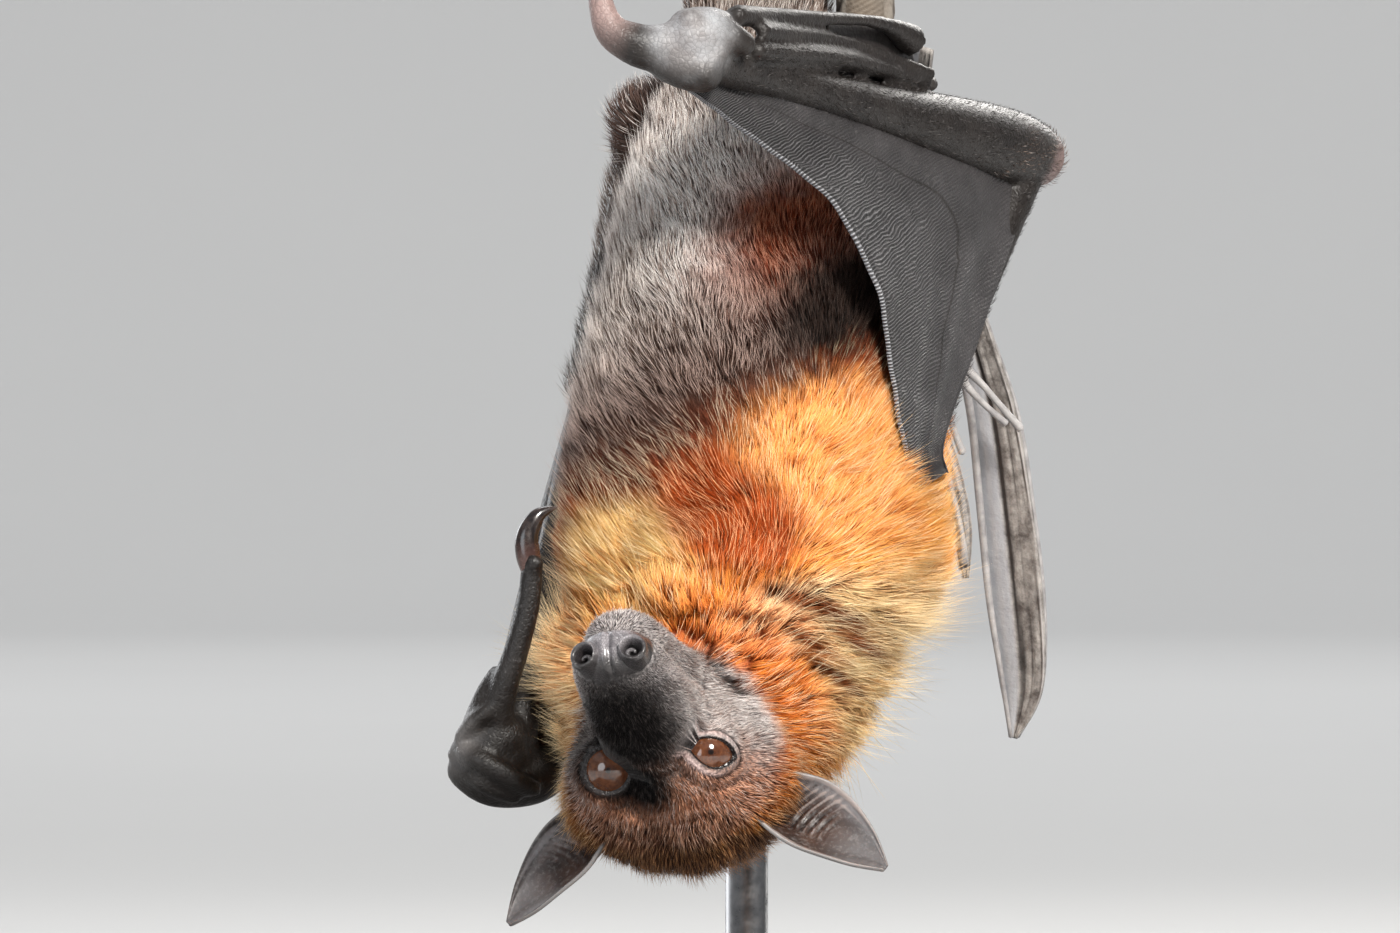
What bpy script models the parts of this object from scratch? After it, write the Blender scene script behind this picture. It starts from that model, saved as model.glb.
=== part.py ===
"""A fruit bat (flying fox) hanging by its feet from a cut length of branch on a display stand, life size.

Metres, +Z up. The origin is at the middle of the underside of the stand's base. The bat hangs head
down with its belly towards -Y, so its own right side is at +X and its own left side is at -X.
Every piece is a solid of its own, parted from its neighbours by a thin gap.
"""

import math

import bmesh
import bpy
from mathutils import Matrix, Vector

MM = 0.001
GAP = 0.3 * MM

# The folded wing skin is thicker here than in life, so that it's a sound solid.
MEMBRANE = 0.9 * MM

# The joints of the skeleton. The forearms are 152 mm long, and the upper arms about 105 mm.
EYES_MIDDLE = Vector((-17.9, -42.0, 77.0)) * MM
RIGHT_SHOULDER = Vector((34.0, 3.0, 134.0)) * MM
RIGHT_ELBOW = Vector((66.0, 64.0, 211.0)) * MM
RIGHT_WRIST = Vector((-10.0, -66.0, 227.0)) * MM
LEFT_SHOULDER = Vector((-28.0, 6.0, 120.0)) * MM
LEFT_ELBOW = Vector((-20.0, 45.0, 218.5)) * MM
LEFT_WRIST = Vector((-50.0, -4.0, 78.0)) * MM
RIGHT_HIP = Vector((13.0, 14.0, 228.0)) * MM
RIGHT_KNEE = Vector((15.5, 52.0, 222.0)) * MM
RIGHT_ANKLE = Vector((17.0, 13.0, 277.0)) * MM
LEFT_HIP = Vector((-7.0, 14.0, 228.0)) * MM
LEFT_KNEE = Vector((-6.5, 52.0, 222.0)) * MM
LEFT_ANKLE = Vector((-9.5, 33.0, 283.0)) * MM
RIGHT_FOOT_Y = 10.0 * MM
LEFT_FOOT_Y = 31.0 * MM

# The perch and the stand.
PERCH_BACK = Vector((2.0, 112.0, 276.0)) * MM
PERCH_FRONT = Vector((2.0, -38.0, 302.0)) * MM
PERCH_RADIUS = 8.0 * MM
ROD_PLACE = Vector((2.0, 98.0, 0.0)) * MM
ROD_RADIUS = 5.0 * MM
BASE_SIDE = 240 * MM
BASE_THICKNESS = 15 * MM


# ---------------------------------------------------------------- the scene and its materials


def clear_scene():
    for thing in list(bpy.data.objects):
        bpy.data.objects.remove(thing)


def new_collection(name, hidden=False):
    collection = bpy.data.collections.new(name)
    collection.hide_render = hidden
    bpy.context.scene.collection.children.link(collection)
    return collection


def make_material(name, colour, roughness, metallic=0.0):
    material = bpy.data.materials.new(name)
    material.use_nodes = True
    shader = material.node_tree.nodes["Principled BSDF"]
    shader.inputs["Base Color"].default_value = (*colour, 1.0)
    shader.inputs["Roughness"].default_value = roughness
    shader.inputs["Metallic"].default_value = metallic
    return material


clear_scene()
BAT = new_collection("fruit_bat")
CUTTERS = new_collection("cutters", hidden=True)
MATERIALS = {
    "face_fur": make_material("face_fur", (0.055, 0.048, 0.045), 0.85),
    "mantle_fur": make_material("mantle_fur", (0.62, 0.26, 0.06), 0.85),
    "belly_fur": make_material("belly_fur", (0.085, 0.060, 0.050), 0.85),
    "wing_skin": make_material("wing_skin", (0.060, 0.052, 0.050), 0.55),
    "ear_skin": make_material("ear_skin", (0.150, 0.115, 0.105), 0.55),
    "eye": make_material("eye", (0.180, 0.055, 0.020), 0.08),
    "claw": make_material("claw", (0.035, 0.025, 0.022), 0.25),
    "bark": make_material("bark", (0.200, 0.160, 0.130), 0.85),
    "stand_paint": make_material("stand_paint", (0.780, 0.770, 0.740), 0.45),
}


# ---------------------------------------------------------------- making and cutting solids

MAKERS = {}


def add_object(name, mesh, material, collection=None):
    """A node, or a cutter when a collection is given."""
    mesh.materials.clear()
    mesh.materials.append(MATERIALS[material])
    mesh.shade_smooth()
    mesh.set_sharp_from_angle(angle=math.radians(50))
    made = bpy.data.objects.new(name, mesh)
    (collection or BAT).objects.link(made)
    if collection is CUTTERS:
        made.hide_render = True
        made.display_type = "WIRE"
    return made


def mesh_from(bm, name):
    bmesh.ops.remove_doubles(bm, verts=bm.verts, dist=1e-6)
    bmesh.ops.recalc_face_normals(bm, faces=bm.faces)
    mesh = bpy.data.meshes.new(name)
    bm.to_mesh(mesh)
    bm.free()
    return mesh


def node(name, material, maker, cut_by=()):
    """A named solid made by maker(grow), with room cut for the nodes in cut_by.

    maker builds the mesh at its true size for grow 0. For a larger grow it builds the same shape
    that much fatter, which is the cutter that parts a neighbour from it.
    """
    MAKERS[name] = maker
    made = add_object(name, maker(0.0), material)
    for other in cut_by:
        cut_away(made, other)
    return made


def cut_away(target, other):
    cutter_name = f"cutter_{other}"
    cutter = bpy.data.objects.get(cutter_name)
    if cutter is None:
        cutter = add_object(cutter_name, MAKERS[other](GAP), "claw", CUTTERS)
    add_boolean(target, cutter, "DIFFERENCE")


def add_boolean(target, other, operation):
    boolean = target.modifiers.new(f"{operation.lower()}_{other.name}", "BOOLEAN")
    boolean.operation = operation
    boolean.object = other
    boolean.solver = "EXACT"


def smooth_between(values, place):
    """Catmull-Rom through a list of numbers or vectors; place runs from 0 to len(values) - 1."""
    last = len(values) - 1
    first = min(int(place), last - 1)
    t = place - first
    before = values[max(first - 1, 0)]
    here, following = values[first], values[first + 1]
    after = values[min(first + 2, last)]
    pull_in = (following - before) * 0.5
    pull_out = (after - here) * 0.5
    square, cube = t * t, t * t * t
    return (
        here * (2 * cube - 3 * square + 1)
        + pull_in * (cube - 2 * square + t)
        + following * (3 * square - 2 * cube)
        + pull_out * (cube - square)
    )


def rounded(angle_part, power):
    """One coordinate of a superellipse: a plain ellipse at power 2, and boxier above it."""
    return math.copysign(abs(angle_part) ** (2.0 / power), angle_part)


def bridge_rings(bm, rings, close_ends=True):
    for low, high in zip(rings, rings[1:]):
        count = len(low)
        for i in range(count):
            j = (i + 1) % count
            bm.faces.new((low[i], low[j], high[j], high[i]))
    if close_ends:
        bm.faces.new(rings[0])
        bm.faces.new(rings[-1])


def body_loft(stations, right, front, sides=16, steps=2, grow=0.0, start=0.0, end=None, power=2.0):
    """A closed loft with every ring in the plane of right and front.

    Each station is (centre, half width, half depth to the front, half depth to the back).
    start and end, in stations, cut a length out of the whole.
    """
    end = len(stations) - 1 if end is None else end
    columns = [list(column) for column in zip(*stations)]
    along = right.cross(front)
    bm = bmesh.new()
    rings = []
    count = max(2, round((end - start) * steps)) + 1
    for step in range(count):
        place = start + (end - start) * step / (count - 1)
        centre, wide, ahead, behind = [smooth_between(column, place) for column in columns]
        if step == 0:
            centre = centre - end_push(columns[0], along) * grow
        if step == count - 1:
            centre = centre + end_push(columns[0], along) * grow
        ring = []
        for side in range(sides):
            angle = 2 * math.pi * side / sides
            across = rounded(math.cos(angle), power) * (wide + grow)
            depth = rounded(math.sin(angle), power)
            depth *= (ahead if depth > 0 else behind) + grow
            ring.append(bm.verts.new(centre + right * across + front * depth))
        rings.append(ring)
    bridge_rings(bm, rings)
    return mesh_from(bm, "loft")


def end_push(centres, along):
    """The way that the loft runs, as plus or minus its axis."""
    return along if (centres[-1] - centres[0]).dot(along) > 0 else -along


def limb(points, radii, sides=10, steps=3, grow=0.0, flat=1.0, flat_way=None, ends=(True, True)):
    """A closed tapered tube along a smooth path, with rounded ends.

    flat below 1 thins the section across flat_way. ends says which ends are rounded; a flat end
    stops exactly at its point.
    """
    last = len(points) - 1
    count = last * steps + 1
    path, sizes = [], []
    for step in range(count):
        place = last * step / (count - 1)
        path.append(smooth_between(points, place))
        sizes.append(smooth_between(radii, place) + grow)
    frames = carry_frames(path, flat_way)
    bm = bmesh.new()
    rings = []
    for index, (centre, (tangent, side_way, flat_axis)) in enumerate(zip(path, frames)):
        if index == 0:
            extra = dome(centre, -tangent, sizes[0], grow, ends[0])
            rings += [make_ring(bm, *e, side_way, flat_axis, flat, grow, sides) for e in reversed(extra)]
        rings.append(make_ring(bm, centre, sizes[index], side_way, flat_axis, flat, grow, sides))
        if index == count - 1:
            extra = dome(centre, tangent, sizes[-1], grow, ends[1])
            rings += [make_ring(bm, *e, side_way, flat_axis, flat, grow, sides) for e in extra]
    bridge_rings(bm, rings)
    return mesh_from(bm, "limb")


def dome(centre, way, size, grow, is_round):
    """The centres and radii of the extra rings that round off, or lengthen, the end of a limb."""
    if not is_round:
        return [(centre + way * grow, size)] if grow else []
    return [(centre + way * size * math.sin(a), size * math.cos(a)) for a in (0.65, 1.15)]


def make_ring(bm, centre, size, side_way, flat_axis, flat, grow, sides):
    thin = (size - grow) * flat + grow if size > grow else size * flat
    ring = []
    for side in range(sides):
        angle = 2 * math.pi * side / sides
        offset = side_way * math.cos(angle) * size + flat_axis * math.sin(angle) * thin
        ring.append(bm.verts.new(centre + offset))
    return ring


def carry_frames(path, flat_way=None):
    """Tangent, side and flat axes along a path, carried along so that the tube doesn't twist."""
    frames = []
    flat_axis = flat_way or Vector((0.3, 0.2, 0.93))
    for index, _ in enumerate(path):
        ahead = path[min(index + 1, len(path) - 1)]
        behind = path[max(index - 1, 0)]
        tangent = (ahead - behind).normalized()
        flat_axis = (flat_axis - tangent * flat_axis.dot(tangent)).normalized()
        frames.append((tangent, tangent.cross(flat_axis), flat_axis))
    return frames


def sheet(rows, thickness=MEMBRANE, steps=3, grow=0.0):
    """A thin closed solid on a surface through rows of points, thickened evenly to both sides."""
    rows = [fine_line(row, steps) for row in rows]
    columns = [fine_line(list(column), steps) for column in zip(*rows)]
    bm = bmesh.new()
    grid = [[bm.verts.new(point) for point in column] for column in columns]
    for left, right in zip(grid, grid[1:]):
        for i in range(len(left) - 1):
            bm.faces.new((left[i], left[i + 1], right[i + 1], right[i]))
    bmesh.ops.recalc_face_normals(bm, faces=bm.faces)
    bm.normal_update()
    half = thickness / 2 + grow
    upper = {v: v.co + v.normal * half for v in bm.verts}
    lower = {v: v.co - v.normal * half for v in bm.verts}
    return shell_between(bm, grid, upper, lower)


def shell_between(bm, grid, upper, lower):
    solid = bmesh.new()
    tops = [[solid.verts.new(upper[v]) for v in column] for column in grid]
    bottoms = [[solid.verts.new(lower[v]) for v in column] for column in grid]
    bm.free()
    wide, long = len(tops), len(tops[0])
    for i in range(wide - 1):
        for j in range(long - 1):
            solid.faces.new((tops[i][j], tops[i][j + 1], tops[i + 1][j + 1], tops[i + 1][j]))
            solid.faces.new((bottoms[i][j], bottoms[i + 1][j], bottoms[i + 1][j + 1], bottoms[i][j + 1]))
    border = [(i, 0) for i in range(wide)]
    border += [(wide - 1, j) for j in range(1, long)]
    border += [(i, long - 1) for i in range(wide - 2, -1, -1)]
    border += [(0, j) for j in range(long - 2, 0, -1)]
    for (i, j), (k, m) in zip(border, border[1:] + border[:1]):
        solid.faces.new((tops[i][j], tops[k][m], bottoms[k][m], bottoms[i][j]))
    return mesh_from(solid, "sheet")


def fine_line(points, steps):
    last = len(points) - 1
    count = last * steps
    return [smooth_between(points, last * step / count) for step in range(count + 1)]


# ---------------------------------------------------------------- trunk and neck


def mm(x, y, z):
    return Vector((x, y, z)) * MM


RIGHTWARD = Vector((1, 0, 0))
FRONTWARD = Vector((0, -1, 0))

# From the base of the neck up to the rump: centre, half width, depth to the belly and to the back.
TRUNK = [
    (mm(0.5, -2, 102), 30 * MM, 22 * MM, 22 * MM),
    (mm(2.0, -2, 110), 40 * MM, 28 * MM, 28 * MM),
    (mm(3.0, -1, 122), 44 * MM, 31 * MM, 31 * MM),
    (mm(2.5, 0, 138), 43 * MM, 32 * MM, 32 * MM),
    (mm(1.5, 0, 156), 39 * MM, 31 * MM, 31 * MM),
    (mm(1.8, 1, 176), 34.5 * MM, 28 * MM, 29 * MM),
    (mm(1.5, 3, 196), 29.5 * MM, 24 * MM, 25 * MM),
    (mm(1.5, 6, 212), 25 * MM, 19 * MM, 21 * MM),
    (mm(3.0, 9, 226), 21 * MM, 15 * MM, 17 * MM),
    (mm(4.0, 12, 238), 17.5 * MM, 12 * MM, 13 * MM),
    (mm(4.5, 14, 248), 13 * MM, 9 * MM, 10 * MM),
    (mm(4.5, 16, 257), 6 * MM, 5 * MM, 5 * MM),
]
CHEST_TOP = 4.45
BELLY_TOP = 7.0

# From the back of the head up into the chest.
NECK = [
    (mm(-9.0, -14, 66), 24 * MM, 12 * MM, 18 * MM),
    (mm(-9.0, -14, 76), 33 * MM, 19 * MM, 24 * MM),
    (mm(-7.0, -11, 88), 38.5 * MM, 25 * MM, 27 * MM),
    (mm(-4.5, -7, 99), 41 * MM, 28 * MM, 28 * MM),
    (mm(-1.0, -4, 110), 40.5 * MM, 28 * MM, 28 * MM),
    (mm(1.0, -3, 120), 35 * MM, 24 * MM, 24 * MM),
]


def trunk_piece(start, end):
    return lambda grow: body_loft(
        TRUNK, RIGHTWARD, FRONTWARD, sides=16, grow=grow, start=start, end=end, power=2.2
    )


def build_trunk():
    gap_in_stations = 0.02
    last = len(TRUNK) - 1
    node("chest", "mantle_fur", trunk_piece(0, CHEST_TOP))
    node("abdomen", "belly_fur", trunk_piece(CHEST_TOP + gap_in_stations, BELLY_TOP))
    node("rump", "belly_fur", trunk_piece(BELLY_TOP + gap_in_stations, last))


def build_neck():
    def neck(grow):
        return body_loft(NECK, RIGHTWARD, FRONTWARD, sides=16, steps=1, grow=grow, power=2.1)

    node("neck", "mantle_fur", neck, cut_by=("head", "lower_jaw", "chest"))


# ---------------------------------------------------------------- head, jaw, eyes, nose and ears

HEAD_TURN = math.radians(17.2)
HEAD_LIFT = math.radians(22.5)
HEAD_ROLL = math.radians(9.5)


def head_axes():
    """The head's own right, forward and up. The head hangs crown down and faces -Y."""
    forward = Vector(
        (
            -math.sin(HEAD_TURN) * math.cos(HEAD_LIFT),
            -math.cos(HEAD_TURN) * math.cos(HEAD_LIFT),
            math.sin(HEAD_LIFT),
        )
    )
    level_up = (Vector((0, 0, -1)) + forward * forward.z).normalized()
    level_right = forward.cross(level_up)
    up = level_up * math.cos(HEAD_ROLL) + level_right * math.sin(HEAD_ROLL)
    return forward.cross(up), forward, up


HEAD_RIGHT, HEAD_FORWARD, HEAD_UP = head_axes()


def head_point(right, forward, up):
    """A place in the head's own axes, in millimetres from the middle between the eyes."""
    offset = HEAD_RIGHT * right + HEAD_FORWARD * forward + HEAD_UP * up
    return EYES_MIDDLE + offset * MM


# Along the head from the nape to the nose: forward, middle height, half width, to crown, to throat.
HEAD = [
    (-43, -1.0, 9.0, 8.0, 8.0),
    (-38, 0.0, 17.0, 13.0, 13.0),
    (-30, 0.0, 23.5, 16.5, 17.0),
    (-21, 0.0, 27.0, 17.5, 20.0),
    (-13, -1.0, 26.0, 16.5, 20.5),
    (-7, -2.0, 21.5, 15.0, 19.5),
    (-2, -4.0, 17.0, 14.5, 17.0),
    (4, -6.0, 13.8, 13.0, 13.5),
    (12, -8.5, 12.2, 11.5, 9.2),
    (21, -10.5, 11.3, 9.3, 6.9),
    (28, -11.5, 10.3, 7.2, 5.8),
    (33.5, -11.8, 8.0, 5.5, 5.0),
    (36.5, -11.8, 4.0, 3.0, 3.0),
]
JAW = [
    (-14, -14.0, 15.0, 5.0, 9.0),
    (-4, -16.5, 14.0, 5.0, 8.5),
    (8, -18.0, 11.5, 5.0, 7.2),
    (19, -18.5, 9.8, 5.0, 6.4),
    (26, -18.8, 8.0, 4.5, 5.6),
    (30, -18.9, 4.5, 3.5, 3.6),
]
EYE_PLACE = (10.2, -2.4, -0.3)
EYE_RADIUS = 6.0
EAR_ROOT = (21.0, -21.0, 5.5)
EAR_TIP = (42.7, -26.5, 22.0)
NOSTRIL = (4.9, 34.0, -10.8)


def head_stations(rows):
    return [
        (head_point(0, forward, middle), wide * MM, crown * MM, throat * MM)
        for forward, middle, wide, crown, throat in rows
    ]


def skull_loft(rows, sides, power):
    return lambda grow: body_loft(
        head_stations(rows), HEAD_RIGHT, HEAD_UP, sides=sides, steps=1, grow=grow, power=power
    )


def ball(centre, radius, across=12, down=8):
    bm = bmesh.new()
    bmesh.ops.create_uvsphere(
        bm, u_segments=across, v_segments=down, radius=radius, matrix=Matrix.Translation(centre)
    )
    return mesh_from(bm, "ball")


def eye_ball(side):
    right, forward, up = EYE_PLACE
    centre = head_point(side * right, forward, up)
    return lambda grow: ball(centre, EYE_RADIUS * MM + grow)


def nostril_path(side, reach):
    right, forward, up = NOSTRIL
    root = head_point(side * (right - 1.6), forward - 6.0, up + 0.4)
    mouth = head_point(side * (right + 0.5), forward + reach, up - 0.2)
    return [root, root.lerp(mouth, 0.5), mouth]


def ear_sheet(side):
    """A cupped leaf, wide at the root and pointed at the tip, hollow towards the front."""
    root = head_point(side * EAR_ROOT[0], EAR_ROOT[1], EAR_ROOT[2])
    tip = head_point(side * EAR_TIP[0], EAR_TIP[1], EAR_TIP[2])
    along = (tip - root).normalized()
    facing = HEAD_FORWARD * 0.93 + HEAD_RIGHT * side * 0.10 - HEAD_UP * 0.25
    facing = (facing - along * facing.dot(along)).normalized()
    across = along.cross(facing) * side
    half_widths = [7.2, 8.7, 7.9, 5.2, 0.9]
    cups = [6.5, 4.6, 2.9, 1.4, 0.2]
    lean = [0.0, 1.0, 1.4, 0.9, 0.0]
    rows = []
    for index, (wide, cup, shift) in enumerate(zip(half_widths, cups, lean)):
        middle = root.lerp(tip, index / (len(cups) - 1))
        row = []
        for place in (-1.0, -0.5, 0.0, 0.5, 1.0):
            offset = across * (place * wide - shift) + facing * (place * place - 0.6) * cup
            row.append(middle + offset * MM)
        rows.append(row)
    return lambda grow: sheet(rows, thickness=1.1 * MM, steps=2, grow=grow)


def build_head():
    head = node("head", "face_fur", skull_loft(HEAD, 16, 2.15))
    for side, name in ((-1, "left"), (1, "right")):
        boss = limb(nostril_path(side, 3.0), [4.2 * MM, 4.3 * MM, 3.9 * MM], sides=8, steps=2, ends=(True, False))
        add_boolean(head, add_object(f"nostril_boss_{name}", boss, "face_fur", CUTTERS), "UNION")
    for side, name in ((-1, "left"), (1, "right")):
        bore = limb(nostril_path(side, 5.0)[1:], [1.2 * MM, 2.5 * MM], sides=8, steps=1, ends=(False, False))
        add_boolean(head, add_object(f"nostril_bore_{name}", bore, "face_fur", CUTTERS), "DIFFERENCE")
    for side, name in ((-1, "left"), (1, "right")):
        node(f"eye_{name}", "eye", eye_ball(side))
        cut_away(head, f"eye_{name}")
    node("lower_jaw", "face_fur", skull_loft(JAW, 14, 2.2), cut_by=("head",))
    for side, name in ((-1, "left"), (1, "right")):
        node(f"ear_{name}", "ear_skin", ear_sheet(side), cut_by=("head",))


# ---------------------------------------------------------------- perch and stand


def build_perch():
    """A cut length of branch along Y, with a sawn-off side branch that points down."""
    middle = PERCH_BACK.lerp(PERCH_FRONT, 0.5) + mm(0.3, 0, 0)
    branch = [
        PERCH_BACK,
        PERCH_BACK.lerp(middle, 0.5),
        middle,
        middle.lerp(PERCH_FRONT, 0.5),
        PERCH_FRONT,
    ]
    thickness = [PERCH_RADIUS * part for part in (1.06, 1.0, 0.98, 1.0, 0.97)]

    def perch(grow):
        return limb(branch, thickness, sides=12, steps=1, grow=grow, ends=(False, False))

    made = node("perch", "bark", perch)
    twig = [mm(6, 52, 286), mm(19, 47, 280), mm(27.5, 36, 264), mm(28.3, 28.5, 250), mm(27.8, 27, 237.5)]
    thickness_down = [PERCH_RADIUS * part for part in (0.85, 0.95, 0.88, 0.88, 0.92)]
    stub = limb(twig, thickness_down, sides=10, steps=2, ends=(False, False))
    add_boolean(made, add_object("side_branch", stub, "bark", CUTTERS), "UNION")


def box(low, high):
    bm = bmesh.new()
    bmesh.ops.create_cube(bm, size=1.0)
    middle, size = (low + high) / 2, high - low
    for vert in bm.verts:
        vert.co = middle + Vector(a * b for a, b in zip(vert.co, size))
    bmesh.ops.bevel(bm, geom=bm.edges, offset=1.5 * MM, segments=1, affect="EDGES", profile=0.5)
    return mesh_from(bm, "box")


def build_stand():
    half = BASE_SIDE / 2
    low, high = Vector((-half, -half, 0)), Vector((half, half, BASE_THICKNESS))
    node("stand_base", "stand_paint", lambda grow: box(low, high))
    foot = Vector((ROD_PLACE.x, ROD_PLACE.y, BASE_THICKNESS))
    head = Vector((ROD_PLACE.x, ROD_PLACE.y, PERCH_BACK.z))
    rod_radius = ROD_RADIUS / MM
    tube(
        "stand_rod", "stand_paint", [foot, head], [rod_radius, rod_radius],
        cut_by=("perch",), sides=16, steps=1, ends=(False, False),
    )


# ---------------------------------------------------------------- legs and feet

TOES = 5
TOE_RADIUS = 1.55 * MM


def tube(name, material, points, radii, cut_by=(), **shape):
    """A node shaped as a limb, with its radii in millimetres."""
    sizes = [radius * MM for radius in radii]
    return node(name, material, lambda grow: limb(points, sizes, grow=grow, **shape), cut_by)


def round_perch(side, y, degrees, clear):
    """A place beside the perch: degrees go from its flank, on the side given, up over its top."""
    along = (PERCH_FRONT - PERCH_BACK).normalized()
    part = (PERCH_BACK.y - y) / (PERCH_BACK.y - PERCH_FRONT.y)
    centre = PERCH_BACK.lerp(PERCH_FRONT, part)
    upward = RIGHTWARD.cross(along)
    upward = upward if upward.z > 0 else -upward
    angle = math.radians(degrees)
    way = RIGHTWARD * side * math.cos(angle) + upward * math.sin(angle)
    return centre + way * (PERCH_RADIUS + clear)


def toe_place(side, foot_y, toe, degrees, clear):
    """Five toes lie side by side along the perch, fanned a little towards their tips."""
    apart = 2.75 + 0.7 * min(degrees / 120.0, 1.2)
    spread = (toe - (TOES - 1) / 2) * apart * MM
    return round_perch(side, foot_y + spread, degrees, clear)


def build_foot(side, name, ankle, foot_y):
    sole = [
        ankle,
        round_perch(side, foot_y, -38, 4.6 * MM),
        round_perch(side, foot_y, 8, 3.2 * MM),
    ]
    foot = tube(
        f"foot_{name}", "wing_skin", sole, [3.0, 5.2, 6.6], cut_by=(f"shin_{name}",),
        sides=8, steps=2, flat=0.42, flat_way=RIGHTWARD * side, ends=(False, True),
    )
    clear = TOE_RADIUS + GAP
    for toe in range(TOES):
        path = [toe_place(side, foot_y, toe, degrees, clear) for degrees in (2, 40, 80, 118)]
        sizes = [TOE_RADIUS * part for part in (1.1, 1.0, 1.0, 0.95)]
        flesh = limb(path, sizes, sides=6, steps=1, ends=(True, False))
        add_boolean(foot, add_object(f"toe_{toe + 1}_{name}", flesh, "wing_skin", CUTTERS), "UNION")
        hook = [
            toe_place(side, foot_y, toe, 121.5, clear),
            toe_place(side, foot_y, toe, 145, clear * 1.05),
            toe_place(side, foot_y, toe, 168, clear * 0.62),
        ]
        claw = f"claw_{toe + 1}_foot_{name}"
        tube(claw, "claw", hook, [1.25, 1.0, 0.3], sides=6, steps=2, ends=(False, False))
    cut_away(foot, "perch")


def build_leg(side, name, hip, knee, ankle, foot_y):
    body = ("rump", "abdomen")
    thigh = [hip, hip.lerp(knee, 0.5), knee]
    tube(f"thigh_{name}", "belly_fur", thigh, [9.4, 9.3, 9.0], cut_by=body, sides=10, steps=1)
    shin = [knee, knee.lerp(ankle, 0.3), ankle]
    around = body + (f"thigh_{name}",)
    tube(f"shin_{name}", "belly_fur", shin, [7.0, 5.0, 3.3], cut_by=around, sides=8, steps=1)
    build_foot(side, name, ankle, foot_y)


# ---------------------------------------------------------------- arms, hands and wings

BODY = ("chest", "abdomen", "rump", "neck")


def build_arm(name, shoulder, elbow, wrist, arm_radii, cuts):
    upper = [shoulder, shoulder.lerp(elbow, 0.5), elbow]
    tube(f"upper_arm_{name}", "belly_fur", upper, arm_radii, cut_by=cuts, sides=10, steps=1)
    lower = [elbow, elbow.lerp(wrist, 0.25), elbow.lerp(wrist, 0.6), wrist]
    around = BODY + (f"upper_arm_{name}",)
    tube(f"forearm_{name}", "wing_skin", lower, [6.4, 5.2, 4.5, 5.2], cut_by=around, sides=10, steps=1)


def build_thumb(name, flesh, hook):
    """The thumb is free of the wing, with a large hooked claw."""
    around = (f"hand_{name}", f"forearm_{name}")
    tube(
        f"thumb_{name}", "wing_skin", flesh, [4.4, 4.2, 3.2, 2.5, 2.4],
        cut_by=around, sides=8, steps=1, ends=(True, False),
    )
    sizes = [2.5, 1.9, 0.4] if len(hook) == 3 else [2.5, 2.2, 1.6, 0.4]
    tube(
        f"thumb_claw_{name}", "claw", hook, sizes,
        cut_by=(f"thumb_{name}",), sides=8, steps=2, ends=(False, False),
    )


def build_right_arm():
    """The forearm is raised across the belly, with the wrist up by the feet."""
    build_arm("right", RIGHT_SHOULDER, RIGHT_ELBOW, RIGHT_WRIST, [9.0, 7.2, 7.2], BODY)
    palm = [RIGHT_WRIST + mm(-2, -1, 3), RIGHT_WRIST + mm(3, 2, 4), RIGHT_WRIST + mm(8, 9, 5)]
    tube("hand_right", "wing_skin", palm, [6.8, 7.0, 5.6], cut_by=("forearm_right",), sides=10, steps=1)
    flesh = [mm(-16, -67, 230), mm(-23.5, -68, 229.8), mm(-28, -68, 232.5), mm(-30, -67.5, 240), mm(-30, -66, 250)]
    build_thumb("right", flesh, [mm(-30, -65.8, 251.2), mm(-29.5, -64.5, 257), mm(-25.5, -63, 261)])
    first = [mm(-1, -60, 234), mm(20, -14, 236.5), mm(41.5, 28, 235.5)]
    last = [mm(1, -57, 228.5), mm(21, -14, 229), mm(43, 26, 226.3)]
    around = BODY + ("upper_arm_right", "forearm_right", "hand_right")
    tube("fingers_2_3_right", "wing_skin", first, [2.8, 3.0, 3.5], cut_by=around, sides=8, steps=2)
    around += ("fingers_2_3_right",)
    tube("fingers_4_5_right", "wing_skin", last, [3.6, 5.0, 3.9], cut_by=around, sides=8, steps=2)


def build_right_fingers():
    """The outer bones hang from the knuckles behind the arm, and their ends show beside it."""
    around = ("fingers_2_3_right", "fingers_4_5_right", "forearm_right", "upper_arm_right")
    third = [
        mm(41, 31, 234), mm(40, 41, 222), mm(41.5, 45, 210), mm(46.5, 47.5, 190), mm(52.5, 50.5, 170),
        mm(57.5, 55, 152), mm(60.5, 60, 131), mm(63, 64, 109), mm(64.5, 68, 90), mm(62.8, 70, 78),
    ]
    tube(
        "wing_tip_right", "wing_skin", third, [3.0, 3.0, 3.0, 3.4, 4.6, 5.6, 6.4, 6.6, 5.2, 0.8],
        cut_by=around, sides=8, steps=1, flat=0.3, flat_way=mm(-0.35, -0.93, -0.2),
    )
    around += ("wing_tip_right",)
    fourth = [
        mm(43, 26, 226), mm(36, 36, 220), mm(36, 40, 209),
        mm(41, 42, 190), mm(48, 42.5, 167), mm(63.8, 45, 148),
    ]
    finger_radii = [1.9, 1.9, 1.7, 1.5, 1.3, 0.5]
    tube("finger_4_right", "wing_skin", fourth, finger_radii, cut_by=around, sides=6, steps=1)
    around += ("finger_4_right", "abdomen")
    fifth = [
        mm(39, 19, 226), mm(31.5, 31, 220), mm(31, 34, 209),
        mm(36, 36, 190), mm(42.5, 37.5, 163), mm(50.3, 39, 142.6),
    ]
    tube("finger_5_right", "wing_skin", fifth, finger_radii, cut_by=around, sides=6, steps=1)
    lobe = [mm(41, 33.5, 156), mm(46, 32, 141), mm(49, 31, 127), mm(50.6, 31, 115)]
    tube(
        "wing_lobe_right", "wing_skin", lobe, [2.6, 3.0, 3.0, 0.8],
        cut_by=("chest", "abdomen", "upper_arm_right", "finger_5_right"),
        sides=6, steps=2, flat=0.3, flat_way=mm(-0.2, -0.97, 0),
    )


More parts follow.
